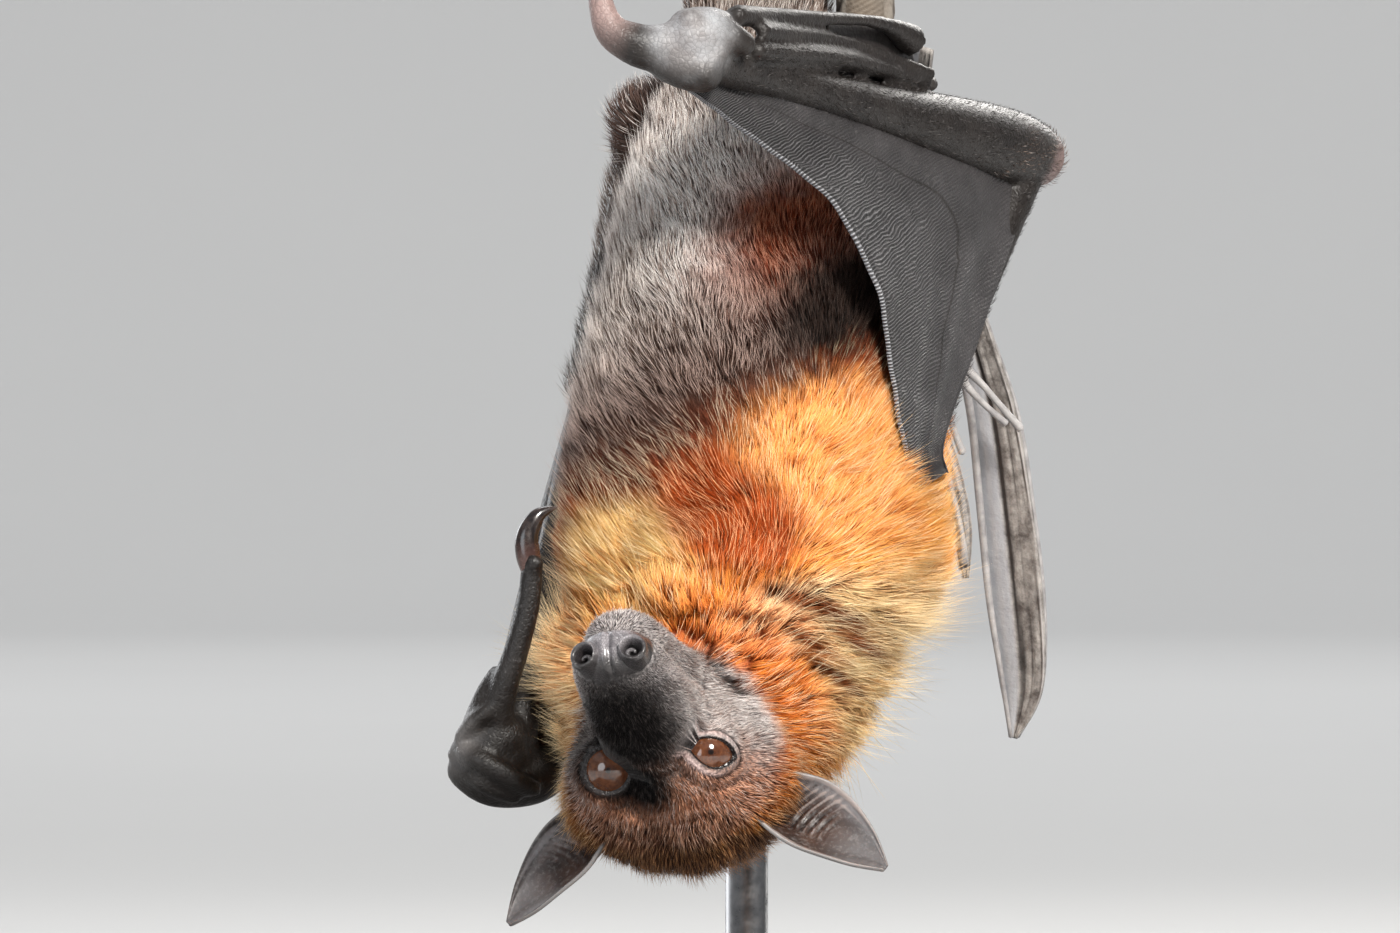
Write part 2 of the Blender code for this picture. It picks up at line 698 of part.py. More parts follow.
def build_right_membranes():
    """One skin is stretched in front of the arm, and the other hangs in pleats behind it."""
    edge = [
        mm(-14, -67, 222), mm(-8.8, -62, 218.3), mm(3, -50, 210), mm(19.2, -36, 197.5),
        mm(29.7, -26, 178), mm(33, -21, 158.8), mm(36.5, -16, 141), mm(38, -12, 134),
    ]
    bones = [RIGHT_WRIST.lerp(RIGHT_ELBOW, part) for part in (0.0, 0.12, 0.38, 0.72, 1.0)]
    bones += [RIGHT_ELBOW.lerp(RIGHT_SHOULDER, part) for part in (0.45, 0.82, 1.0)]
    rows = [edge, [a.lerp(b, 0.5) for a, b in zip(edge, bones)], bones]
    arm = ("upper_arm_right", "forearm_right", "hand_right", "thumb_right")
    fingers = ("fingers_2_3_right", "fingers_4_5_right")
    node(
        "propatagium_right", "wing_skin", lambda grow: sheet(rows, steps=2, grow=grow),
        cut_by=BODY + arm + fingers,
    )
    inner = [mm(34, 18, 146), mm(32, 22, 166), mm(28, 27, 187), mm(22, 36, 207), mm(14.5, 45, 228)]
    outer = [mm(43, 46, 150), mm(43, 50, 168), mm(41, 56, 189), mm(36, 60, 209), mm(26, 57, 232)]
    around = ("chest", "abdomen", "rump", "upper_arm_right", "forearm_right", "thigh_right", "shin_right")
    around += ("finger_4_right", "finger_5_right", "wing_lobe_right", "wing_tip_right", "propatagium_right")
    build_wing_folds("right", inner, outer, around)


def build_wing_folds(name, inner, outer, cuts):
    """The skin between the body and the folded fingers, hanging in soft pleats behind the arm."""
    rows = [inner]
    for part, fold in ((0.25, 1.0), (0.5, 6.0), (0.75, 2.0)):
        rows.append([a.lerp(b, part) + mm(0, fold, 0) for a, b in zip(inner, outer)])
    rows.append(outer)
    node(
        f"plagiopatagium_{name}", "wing_skin", lambda grow: sheet(rows, steps=1, grow=grow),
        cut_by=cuts,
    )


def build_left_wing():
    """The wing is folded: the elbow is up by the hip, and the wrist is down beside the head."""
    build_arm("left", LEFT_SHOULDER, LEFT_ELBOW, LEFT_WRIST, [8.0, 6.8, 9.5], BODY + ("thigh_left",))
    palm = [LEFT_WRIST + mm(3.5, 0, -7), LEFT_WRIST + mm(-3, -2, -6), LEFT_WRIST + mm(-9.3, -3, -2.5)]
    tube(
        "hand_left", "wing_skin", palm, [6.6, 7.6, 4.4],
        cut_by=("forearm_left", "neck"), sides=10, steps=1,
    )
    flesh = [mm(-53, -13, 82), mm(-51.5, -15.5, 91), mm(-48.8, -16.5, 100), mm(-46, -17, 110), mm(-45.2, -17, 118)]
    hook = [mm(-45.2, -17, 119.2), mm(-46.8, -17, 123.5), mm(-44.5, -16.5, 128.8), mm(-39.6, -15.5, 131.3)]
    build_thumb("left", flesh, hook)
    around = BODY + ("upper_arm_left", "forearm_left", "hand_left", "thumb_left")
    knuckles = [mm(-53, 3, 80), mm(-43.5, 27, 118), mm(-31.5, 55, 161)]
    tube("fingers_left", "wing_skin", knuckles, [3.8, 4.6, 5.0], cut_by=around, sides=8, steps=2)
    folded = [mm(-31, 58, 157), mm(-30, 61, 140), mm(-28, 59, 118), mm(-24, 54, 95), mm(-20, 48, 74)]
    around += ("fingers_left",)
    tube(
        "wing_tip_left", "wing_skin", folded, [4.0, 6.5, 7.4, 6.0, 1.0],
        cut_by=around, sides=8, steps=2, flat=0.35, flat_way=mm(0.5, 0.86, 0),
    )
    inner = [mm(-20, 29, 136), mm(-18, 30, 152), mm(-16, 29, 168), mm(-14, 27, 184)]
    outer = [mm(-34, 51, 158), mm(-32, 50, 168), mm(-28.5, 47.5, 180), mm(-24, 42, 192)]
    around += ("thigh_left", "shin_left", "wing_tip_left")
    build_wing_folds("left", inner, outer, around)


build_trunk()
build_head()
build_neck()
build_perch()
build_stand()
build_leg(1, "right", RIGHT_HIP, RIGHT_KNEE, RIGHT_ANKLE, RIGHT_FOOT_Y)
build_leg(-1, "left", LEFT_HIP, LEFT_KNEE, LEFT_ANKLE, LEFT_FOOT_Y)
build_right_arm()
build_right_fingers()
build_right_membranes()
build_left_wing()
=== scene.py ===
import math

import bmesh
import bpy
import numpy as np
from mathutils import Matrix, Vector, kdtree
from mathutils.bvhtree import BVHTree


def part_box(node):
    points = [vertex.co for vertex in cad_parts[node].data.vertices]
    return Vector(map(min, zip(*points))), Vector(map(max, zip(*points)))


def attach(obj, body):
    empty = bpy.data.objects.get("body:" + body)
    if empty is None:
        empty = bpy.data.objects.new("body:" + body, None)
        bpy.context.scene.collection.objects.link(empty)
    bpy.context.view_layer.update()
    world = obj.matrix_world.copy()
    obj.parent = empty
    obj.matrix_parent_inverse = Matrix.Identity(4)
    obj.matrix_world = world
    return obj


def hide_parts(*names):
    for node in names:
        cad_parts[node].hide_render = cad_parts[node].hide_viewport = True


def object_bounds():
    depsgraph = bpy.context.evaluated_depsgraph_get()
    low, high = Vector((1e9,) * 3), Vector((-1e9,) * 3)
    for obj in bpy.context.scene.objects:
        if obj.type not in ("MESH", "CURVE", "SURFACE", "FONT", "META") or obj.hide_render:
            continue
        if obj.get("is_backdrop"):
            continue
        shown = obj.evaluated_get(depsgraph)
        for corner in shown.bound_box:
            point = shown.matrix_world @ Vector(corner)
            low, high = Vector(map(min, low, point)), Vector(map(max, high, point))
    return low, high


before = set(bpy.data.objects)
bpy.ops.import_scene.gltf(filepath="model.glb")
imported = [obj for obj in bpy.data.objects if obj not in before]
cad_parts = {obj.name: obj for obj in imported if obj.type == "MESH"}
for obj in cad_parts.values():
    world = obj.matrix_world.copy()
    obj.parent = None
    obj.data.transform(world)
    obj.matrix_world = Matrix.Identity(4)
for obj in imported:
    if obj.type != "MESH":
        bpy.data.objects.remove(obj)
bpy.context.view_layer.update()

MM = 0.001

# ---------------------------------------------------------------- camera, light and floor
# A long lens looks level at the middle of the bat from its belly side. The room is one pale
# bowl, floor and wall in one, with a soft key light from the upper right and a wide fill.

VIEW_DISTANCE = 1.9
VIEW_WIDTH = 0.308
VIEW_MIDDLE = (-0.0088, 0.0, 0.140)

camera_data = bpy.data.cameras.new("studio_camera")
camera_data.sensor_width = 36.0
camera_data.lens = camera_data.sensor_width * VIEW_DISTANCE / VIEW_WIDTH
camera_data.clip_start = 0.05
camera_data.clip_end = 30.0
camera = bpy.data.objects.new("studio_camera", camera_data)
camera.location = (VIEW_MIDDLE[0], VIEW_MIDDLE[1] - VIEW_DISTANCE, VIEW_MIDDLE[2])
camera.rotation_euler = (math.radians(90), 0, 0)
bpy.context.scene.collection.objects.link(camera)
bpy.context.scene.camera = camera
bpy.context.scene.view_settings.view_transform = "Standard"


def studio_light(name, place, width, power, colour, spread=180, aim=VIEW_MIDDLE):
    """A round soft light that faces the middle of the bat, or another place."""
    light = bpy.data.lights.new(name, "AREA")
    light.shape = "DISK"
    light.size = width
    light.energy = power
    light.color = colour
    light.spread = math.radians(spread)
    lamp = bpy.data.objects.new(name, light)
    lamp.location = place
    way = Vector(aim) - Vector(place)
    lamp.rotation_euler = way.to_track_quat("-Z", "Y").to_euler()
    bpy.context.scene.collection.objects.link(lamp)


studio_light("key_light", (0.60, -1.36, 1.12), 0.40, 50.0, (1.0, 0.965, 0.91))
studio_light("fill_light", (-1.1, -1.45, 0.45), 1.1, 10.5, (0.90, 0.95, 1.0))
studio_light("rim_light", (0.5, 1.4, 0.9), 0.7, 1.4, (1.0, 0.97, 0.93), 50)
studio_light("back_fill_light", (-1.1, 1.2, 0.6), 1.0, 1.2, (0.95, 0.97, 1.0), 50)
studio_light("wall_light", (0.0, 3.0, 4.4), 2.4, 150.0, (1.0, 1.0, 1.0), aim=(0.0, 4.4, 0.0))

world = bpy.data.worlds.new("studio_world")
bpy.context.scene.world = world
world.use_nodes = True
world.node_tree.nodes["Background"].inputs["Color"].default_value = (0.90, 0.92, 0.95, 1.0)
world.node_tree.nodes["Background"].inputs["Strength"].default_value = 0.38


def new_object(name, bm, material, smooth=True):
    """A finished mesh as an object at the origin, with its place in its mesh."""
    mesh = bpy.data.meshes.new(name)
    bm.to_mesh(mesh)
    bm.free()
    mesh.materials.append(material)
    mesh.polygons.foreach_set("use_smooth", [smooth] * len(mesh.polygons))
    made = bpy.data.objects.new(name, mesh)
    bpy.context.scene.collection.objects.link(made)
    return made


def new_material(name, roughness, constants=()):
    """A Principled material, with its node tree and shader, and constants for the shader."""
    material = bpy.data.materials.new(name)
    material.use_nodes = True
    shader = material.node_tree.nodes["Principled BSDF"]
    shader.inputs["Roughness"].default_value = roughness
    for socket, value in dict(constants).items():
        shader.inputs[socket].default_value = value
    return material, material.node_tree, shader


def feed(socket, value):
    """Gives an input a value: another socket is linked, a number or a colour is set."""
    if isinstance(value, bpy.types.NodeSocket):
        socket.id_data.links.new(value, socket)
    elif isinstance(value, (int, float)):
        socket.default_value = value
    else:
        socket.default_value = (*value, 1.0)


def dress(shader, colour, roughness=None, normal=None):
    """Feeds what a finish works out into its shader."""
    for name, value in (("Base Color", colour), ("Roughness", roughness), ("Normal", normal)):
        if value is not None:
            feed(shader.inputs[name], value)


def tree_of(*values):
    """The node tree of the first socket among some values."""
    return next(value.id_data for value in values if isinstance(value, bpy.types.NodeSocket))


def object_coordinates(tree):
    return tree.nodes.new("ShaderNodeTexCoord").outputs["Object"]


def noise(where, scale, detail=3.0, roughness=0.55):
    node = where.id_data.nodes.new("ShaderNodeTexNoise")
    for name, value in (("Scale", scale), ("Detail", detail), ("Roughness", roughness), ("Vector", where)):
        feed(node.inputs[name], value)
    return node.outputs["Fac"]


def blend(part, low, high, kind="MIX"):
    """A Mix node for colours: low where part is 0, and high where it is 1."""
    mix = tree_of(part, low, high).nodes.new("ShaderNodeMix")
    mix.data_type = "RGBA"
    mix.blend_type = kind
    mix.clamp_factor = True
    for index, value in ((0, part), (6, low), (7, high)):
        feed(mix.inputs[index], value)
    return mix.outputs[2]


def remap(value, low, high, to_low=0.0, to_high=1.0, smooth=False):
    node = value.id_data.nodes.new("ShaderNodeMapRange")
    node.interpolation_type = "SMOOTHSTEP" if smooth else "LINEAR"
    for index, number in enumerate((value, low, high, to_low, to_high)):
        feed(node.inputs[index], number)
    return node.outputs[0]


def calculate(operation, first, second=0.0):
    node = tree_of(first, second).nodes.new("ShaderNodeMath")
    node.operation = operation
    feed(node.inputs[0], first)
    feed(node.inputs[1], second)
    return node.outputs[0]


def plus(first, second):
    return calculate("ADD", first, second)


def minus(first, second):
    return calculate("SUBTRACT", first, second)


def times(first, second):
    return calculate("MULTIPLY", first, second)


def larger(first, second):
    return calculate("MAXIMUM", first, second)


def bump(height, distance, strength=1.0):
    node = height.id_data.nodes.new("ShaderNodeBump")
    for name, value in (("Strength", strength), ("Distance", distance), ("Height", height)):
        feed(node.inputs[name], value)
    return node.outputs["Normal"]


def close_up(bm, gap=2e-6):
    """Merges the doubles of a closed shape and turns its faces outwards."""
    bmesh.ops.remove_doubles(bm, verts=bm.verts, dist=gap)
    bmesh.ops.recalc_face_normals(bm, faces=bm.faces)


def spun(profile, middle, unit_length, steps, gap):
    """A profile of (radius, height) spun once round an upright axis."""
    bm = bmesh.new()
    places = [Vector((middle[0] + radius, middle[1], height)) * unit_length for radius, height in profile]
    points = [bm.verts.new(place) for place in places]
    edges = [bm.edges.new(pair) for pair in zip(points, points[1:])]
    axis = Vector((middle[0], middle[1], 0)) * unit_length
    bmesh.ops.spin(
        bm, geom=points + edges, cent=axis, axis=(0, 0, 1), angle=math.tau, steps=steps, use_merge=True
    )
    close_up(bm, gap)
    return bm


# The bowl is a profile spun once round.
studio_paint, tree, shader = new_material("studio_paint", 0.9)
dress(shader, blend(noise(object_coordinates(tree), 0.8), (0.56, 0.56, 0.56), (0.60, 0.60, 0.595)))
FLOOR_RADIUS, COVE_RADIUS, WALL_HEIGHT, COVE_STEPS = 5.4, 1.6, 4.5, 12
profile = [(0, 0), (FLOOR_RADIUS, 0)]
for step in range(1, COVE_STEPS + 1):
    turn = math.radians(90 * step / COVE_STEPS)
    profile.append((FLOOR_RADIUS + COVE_RADIUS * math.sin(turn), COVE_RADIUS - COVE_RADIUS * math.cos(turn)))
profile.append((FLOOR_RADIUS + COVE_RADIUS, WALL_HEIGHT))
bowl = spun(profile, (0, 0), 1.0, steps=96, gap=1e-5)
floor = new_object("studio_floor", bowl, studio_paint)
floor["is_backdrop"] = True

# ---------------------------------------------------------------- the skin over the body
# One skin covers the trunk, neck, head, jaw, legs, arms and hands. Each is a round solid inside
# the coat's depth, and a voxel remesh fuses them.

SKIN_VOXEL = 0.9 * MM
SKIN_BODIES = []


def shaped_grid(across, along, place):
    """A grid bent to shape: place(u, v) gives the points for arrays u and v from 0 to 1."""
    bm = bmesh.new()
    bmesh.ops.create_grid(bm, x_segments=across, y_segments=along, size=0.5)
    where = np.array([v.co for v in bm.verts]) + 0.5
    for vert, point in zip(bm.verts, place(where[:, 0], where[:, 1])):
        vert.co = point
    return bm


def closed_grid(across, along, place):
    """The same, for a place that wraps round itself and closes at both ends."""
    bm = shaped_grid(across, along, place)
    close_up(bm)
    return bm


def spline(before, here, following, after, t):
    """A Catmull-Rom curve from here to following, with its neighbours on both sides."""
    pull_in, pull_out = (following - before) / 2, (after - here) / 2
    return (
        here * (2 * t**3 - 3 * t**2 + 1)
        + pull_in * (t**3 - 2 * t**2 + t)
        + following * (3 * t**2 - 2 * t**3)
        + pull_out * (t**3 - t**2)
    )


def curve_through(rows, parts):
    """A Catmull-Rom curve through rows of numbers, read at parts from 0 to 1."""
    rows = np.asarray(rows, float)
    last = len(rows) - 1
    place = np.clip(parts, 0, 1) * last
    first = np.minimum(place.astype(int), last - 1)
    t = (place - first)[:, None]
    before, after = rows[np.maximum(first - 1, 0)], rows[np.minimum(first + 2, last)]
    return spline(before, rows[first], rows[first + 1], after, t)


def round_off(parts, share):
    """1 along the middle of a solid, and a quarter circle down to 0 over this share of each end."""
    from_end = np.minimum(parts, 1 - parts) / share
    return np.sqrt(np.clip(1 - np.clip(1 - from_end, 0, 1) ** 2, 0, 1))


def unit(vectors):
    vectors = np.asarray(vectors, float)
    return vectors / np.maximum(np.linalg.norm(vectors, axis=-1, keepdims=True), 1e-9)


def body_place(rows, right, front, power=2.1, share=0.04):
    """A loft in millimetres. A row is x, y, z, half width, depth to front and back, and coat depth."""

    def place(u, v):
        row = curve_through(rows, v)
        closing = round_off(v, share)
        wide, ahead, behind = (np.maximum(row[:, k] - row[:, 6], 0.5) for k in (3, 4, 5))
        cosine, sine = np.cos(math.tau * u), np.sin(math.tau * u)
        across = np.sign(cosine) * abs(cosine) ** (2 / power) * wide * closing
        depth = np.sign(sine) * abs(sine) ** (2 / power) * np.where(sine > 0, ahead, behind) * closing
        return (row[:, :3] + across[:, None] * np.array(right) + depth[:, None] * np.array(front)) * MM

    return place


def tube_place(points, radii, along, flat=1.0, flat_way=(0.3, 0.2, 0.93), share=None):
    """A tapered tube in millimetres with round ends, thinned to flat across flat_way."""
    parts = np.linspace(0, 1, along + 1)
    path = curve_through(points, parts)
    sizes = curve_through([[radius] for radius in radii], parts)[:, 0]
    length = np.linalg.norm(np.diff(path, axis=0), axis=1).sum()
    end_share = share or min(0.45, sizes.mean() / length)
    tangents = unit(np.gradient(path, axis=0))
    thin_axis, frames = np.array(flat_way, float), []
    for tangent in tangents:
        thin_axis = unit(thin_axis - tangent * thin_axis.dot(tangent))
        frames.append((np.cross(tangent, thin_axis), thin_axis))
    frames = np.array(frames)

    def place(u, v):
        index = np.rint(v * along).astype(int)
        size = (sizes[index] * round_off(v, end_share))[:, None]
        sides, thins = frames[index, 0], frames[index, 1]
        angle = (math.tau * u)[:, None]
        return (path[index] + size * (np.cos(angle) * sides + np.sin(angle) * flat * thins)) * MM

    return place


def fleshy_tube(points, radii, around=20, along=36, **shape):
    SKIN_BODIES.append(closed_grid(around, along, tube_place(points, radii, along, **shape)))


def between(start, end, part):
    return tuple(a + (b - a) * part for a, b in zip(start, end))


def stations(start, end, *parts):
    return [between(start, end, part) for part in parts]


def offset(place, x, y, z):
    return (place[0] + x, place[1] + y, place[2] + z)


# The joints of the skeleton, in millimetres.
RIGHT_SHOULDER, RIGHT_ELBOW, RIGHT_WRIST = (34, 3, 134), (66, 64, 211), (-10, -66, 227)
RIGHT_KNUCKLES = (44, 27, 231)
LEFT_SHOULDER, LEFT_ELBOW, LEFT_WRIST = (-28, 6, 120), (-20, 45, 218.5), (-50, -4, 78)
RIGHT_HIP, RIGHT_KNEE, RIGHT_ANKLE = (13, 14, 228), (15.5, 52, 222), (17, 13, 277)
LEFT_HIP, LEFT_KNEE, LEFT_ANKLE = (-7, 14, 228), (-6.5, 52, 222), (-9.5, 33, 283)

# Rows run up from the head end: x, y, z, half width, depth to the belly and the back, coat depth.
TRUNK = [
    (0.5, -2, 102, 30, 22, 22, 7),
    (2.0, -2, 110, 40, 28, 28, 6.5),
    (3.0, -1, 122, 44, 31, 31, 6),
    (2.5, 0, 138, 43, 32, 32, 5.5),
    (1.5, 0, 156, 39, 31, 31, 4.5),
    (1.8, 1, 176, 34.5, 28, 29, 4),
    (1.5, 3, 196, 29.5, 24, 25, 4),
    (1.5, 6, 212, 25, 19, 21, 4),
    (3.0, 9, 226, 21, 15, 17, 4),
    (4.0, 12, 238, 17.5, 12, 13, 3.5),
    (4.5, 14, 248, 13, 9, 10, 3),
    (4.5, 16, 257, 6, 5, 5, 2),
]
NECK = [
    (-9.0, -14, 66, 24, 12, 18, 5),
    (-9.0, -14, 76, 33, 19, 24, 8),
    (-7.0, -11, 88, 38.5, 25, 27, 9),
    (-4.5, -7, 99, 41, 28, 28, 9),
    (-1.0, -4, 110, 40.5, 28, 28, 9),
    (1.0, -3, 120, 35, 24, 24, 9),
]
RIGHTWARD, FRONTWARD = (1, 0, 0), (0, -1, 0)
SKIN_BODIES.append(closed_grid(96, 90, body_place(TRUNK, RIGHTWARD, FRONTWARD, 2.2)))
SKIN_BODIES.append(closed_grid(96, 50, body_place(NECK, RIGHTWARD, FRONTWARD)))
fleshy_tube([(-20, -17, 111), (-3, -18.5, 110), (14, -17, 108)], [7.2, 7.6, 7.2])

# The head has its own axes: it's turned, lifted and rolled, and its places are in millimetres
# from the middle between the eyes, to its right, forward and up towards the crown.
EYES_MIDDLE = np.array((-17.9, -42.0, 77.0))
HEAD_TURN, HEAD_LIFT, HEAD_ROLL = (math.radians(angle) for angle in (17.2, 22.5, 9.5))
HEAD_FORWARD = np.array(
    (
        -math.sin(HEAD_TURN) * math.cos(HEAD_LIFT),
        -math.cos(HEAD_TURN) * math.cos(HEAD_LIFT),
        math.sin(HEAD_LIFT),
    )
)
level_up = unit(np.array((0, 0, -1.0)) + HEAD_FORWARD * HEAD_FORWARD[2])
HEAD_UP = level_up * math.cos(HEAD_ROLL) + np.cross(HEAD_FORWARD, level_up) * math.sin(HEAD_ROLL)
HEAD_RIGHT = np.cross(HEAD_FORWARD, HEAD_UP)
HEAD_AXES = np.array((HEAD_RIGHT, HEAD_FORWARD, HEAD_UP))


def head_point(right, forward, up):
    """A place on the head as x, y, z in millimetres."""
    return EYES_MIDDLE + np.array((right, forward, up)) @ HEAD_AXES


def on_head(points):
    """Places in metres as right, forward and up on the head, in millimetres."""
    return (np.asarray(points) / MM - EYES_MIDDLE) @ HEAD_AXES.T


# From the nape to the nose: forward, middle height, half width, to crown, to throat, coat depth.
SKULL = [
    (-43, -1.0, 9.0, 8.0, 8.0, 4),
    (-38, 0.0, 17.0, 13.0, 13.0, 4.5),
    (-30, 0.0, 23.5, 16.5, 17.0, 4.2),
    (-21, 0.0, 27.0, 17.5, 20.0, 3.4),
    (-13, -1.0, 26.0, 16.5, 20.5, 2.6),
    (-7, -2.0, 21.5, 15.0, 19.5, 2.0),
    (-2, -4.0, 17.0, 14.5, 17.0, 1.6),
    (4, -6.0, 13.8, 13.0, 13.5, 1.2),
    (12, -8.5, 12.2, 11.5, 9.2, 0.9),
    (21, -10.5, 11.3, 9.3, 6.9, 0.6),
    (28, -11.5, 10.3, 7.2, 5.8, 0.3),
    (33.5, -11.8, 8.0, 5.5, 5.0, 0.2),
    (36.5, -11.8, 4.0, 3.0, 3.0, 0.1),
]
JAW = [
    (-14, -14.0, 15.0, 5.0, 9.0, 2),
    (-4, -16.5, 14.0, 5.0, 8.5, 1.6),
    (8, -18.0, 11.5, 5.0, 7.2, 1.2),
    (19, -18.5, 9.8, 5.0, 6.4, 0.8),
    (26, -18.8, 8.0, 4.5, 5.6, 0.5),
    (30, -18.9, 4.5, 3.5, 3.6, 0.3),
]


def head_rows(rows):
    return [(*head_point(0, forward, middle), *sizes) for forward, middle, *sizes in rows]


SKIN_BODIES.append(closed_grid(96, 90, body_place(head_rows(SKULL), HEAD_RIGHT, HEAD_UP, share=0.03)))
SKIN_BODIES.append(closed_grid(64, 60, body_place(head_rows(JAW), HEAD_RIGHT, HEAD_UP, share=0.06)))

# Legs: the thigh goes back to the knee, and the shin comes up to the ankle beside the perch.
PERCH_BACK, PERCH_FRONT, PERCH_RADIUS = np.array((2, 112, 276.0)), np.array((2, -38, 302.0)), 8.0
TOES, TOE_RADIUS = 5, 1.5
perch_way = unit(PERCH_FRONT - PERCH_BACK)
perch_up = unit(np.cross(perch_way, (-1, 0, 0)))


def round_perch(side, y, degrees, clear):
    """A place beside the perch: degrees go from its flank, on the side given, up over its top."""
    centre = PERCH_BACK + (PERCH_FRONT - PERCH_BACK) * (112 - y) / 150
    angle = math.radians(degrees)
    way = np.array((side * math.cos(angle), 0, 0)) + perch_up * math.sin(angle)
    return tuple(centre + way * (PERCH_RADIUS + clear))


def toe_place(side, foot_y, toe, degrees, clear):
    """Five toes lie side by side along the perch, fanned a little towards their tips."""
    apart = 2.75 + 0.7 * min(degrees / 120, 1.2)
    return round_perch(side, foot_y + (toe - (TOES - 1) / 2) * apart, degrees, clear)


LEGS = (
    (1, RIGHT_HIP, RIGHT_KNEE, RIGHT_ANKLE, 10),
    (-1, LEFT_HIP, LEFT_KNEE, LEFT_ANKLE, 31),
)
for side, hip, knee, ankle, foot_y in LEGS:
    fleshy_tube(stations(hip, knee, 0, 0.5, 1), [8.0, 6.6, 5.6])
    fleshy_tube(stations(knee, ankle, 0, 0.3, 0.7, 1), [5.4, 4.2, 2.9, 2.6])
    sole = [ankle, round_perch(side, foot_y, -38, 4.6), round_perch(side, foot_y, 8, 3.0)]
    fleshy_tube(sole, [2.8, 4.8, 6.2], flat=0.42, flat_way=(side, 0, 0))
    for toe in range(TOES):
        path = [toe_place(side, foot_y, toe, degrees, TOE_RADIUS + 0.3) for degrees in (2, 40, 80, 119)]
        fleshy_tube(path, [TOE_RADIUS * part for part in (1.15, 1.0, 1.08, 0.95)], 12, 24)

# Arms: the right forearm is raised across the belly, and the left one hangs folded.
fleshy_tube(stations(RIGHT_SHOULDER, RIGHT_ELBOW, 0, 0.5, 1), [7.2, 4.6, 5.4])
fleshy_tube(
    stations(RIGHT_ELBOW, RIGHT_WRIST, -0.05, 0.06, 0.25, 0.45, 0.7, 0.9, 1),
    [6.2, 8.6, 7.8, 5.8, 4.4, 4.6, 5.2],
    24,
    80,
)
fleshy_tube(stations(LEFT_SHOULDER, LEFT_ELBOW, 0, 0.5, 1), [6.6, 5.4, 7.0])
fleshy_tube([(-26, 37, 214), (-18, 32, 217.5), (-8, 24, 219)], [7.0, 8.0, 7.0])
fleshy_tube(
    stations(LEFT_ELBOW, LEFT_WRIST, 0, 0.12, 0.35, 0.65, 0.9, 1),
    [5.4, 5.0, 4.4, 4.2, 4.5, 5.0],
    24,
    80,
)

# The right hand: a knobbly wrist, a free thumb, and two bundles of folded finger bones.
RIGHT_THUMB = [
    (-13, -66.5, 229.5), (-19, -67, 228.8), (-24, -68, 230.2),
    (-28, -68, 233), (-30, -67.5, 240), (-30, -66, 251),
]
fleshy_tube([(-15.5, -66, 229.8), (-9, -65, 231.3), (-2, -57, 232.4)], [6.0, 6.5, 5.2])
fleshy_tube([(-19.5, -66, 228.2), (-12, -66.5, 225.2), (-4, -65, 223)], [4.4, 5.2, 4.4])
fleshy_tube([(-13.5, -70, 234.0), (-8.5, -69.5, 235.2)], [2.6, 2.2], 16, 20)
fleshy_tube([(-4, -67, 229), (-9, -70.5, 221.5)], [2.5, 1.9], 16, 24)
fleshy_tube([(-3.5, -66, 232.5), (2, -60, 229)], [3.0, 2.6], 16, 20)
fleshy_tube(RIGHT_THUMB, [5.2, 5.0, 4.4, 3.5, 2.6, 2.3], 20, 50)
upper_bundle = [(-2, -61, 236), (21.9, -10, 238), (32.1, 9, 237.6), (38.5, 22, 234.6)]
fleshy_tube(upper_bundle, [2.5, 1.5, 1.8, 3.9], 16, 70)
lower_bundle = [(4, -54, 233.2), (21.9, -11, 233.4), (33.3, 10, 230.7), (43.2, 23, 227.2)]
fleshy_tube(lower_bundle, [1.7, 1.1, 1.1, 1.4], 12, 70)
fleshy_tube([(2, -56, 229), (22, -10, 229.2), (42, 26, 225.4)], [2.8, 3.3, 2.0], 16, 60, flat=0.75)

# The left hand hangs beside the head: a mitten of folded fingers with the thumb laid over it.
palm = [(-63.6, -8, 75.8), (-60, -8, 73), (-54, -7, 71.5), (-46, -3, 72), (-40, 1, 75)]
fleshy_tube(palm, [2.2, 4.2, 6.2, 6.4, 5.6])
fleshy_tube([(-62, -8.5, 75.5), (-55, -9.2, 76), (-47, -6, 78)], [2.6, 4.9, 5.0])
fleshy_tube([(-63.4, -8.5, 75.6), (-60, -10, 81), (-55.5, -12, 90), (-52, -13, 96)], [1.6, 2.1, 2.6, 2.2])
fleshy_tube([(-59.5, -9, 77), (-54, -9.5, 80), (-48, -6, 82)], [3.4, 5.6, 5.6])
first_ridge = [(-62, -11.5, 78), (-57, -14.6, 76), (-50, -14.4, 72), (-44, -9.5, 69)]
fleshy_tube(first_ridge, [1.5, 2.3, 2.4, 2.0], 16, 40)
fleshy_tube([(-61, -11, 74), (-55.5, -13, 70.5), (-48, -10.5, 67.5)], [1.5, 2.1, 1.9], 16, 40)
fleshy_tube([(-62, -11, 79.5), (-58.5, -14, 84), (-53, -15.5, 88)], [1.4, 1.9, 1.7], 16, 40)
LEFT_THUMB = [
    (-53, -7, 78), (-53.2, -11, 84), (-51.5, -15, 92),
    (-48.8, -16.5, 100), (-46.2, -17, 110), (-45.4, -17, 119),
]
fleshy_tube(LEFT_THUMB, [4.2, 3.7, 3.1, 2.8, 2.6, 2.5], 20, 50)
fleshy_tube([(-45.6, -18.4, 117.2), (-44.2, -18.6, 120.6)], [1.9, 2.3], 16, 20)
LEFT_BUNDLE = [(-53, 3, 80), (-43.5, 27, 118), (-31.5, 55, 161)]
fleshy_tube(LEFT_BUNDLE, [3.6, 4.4, 4.8], 16, 60)


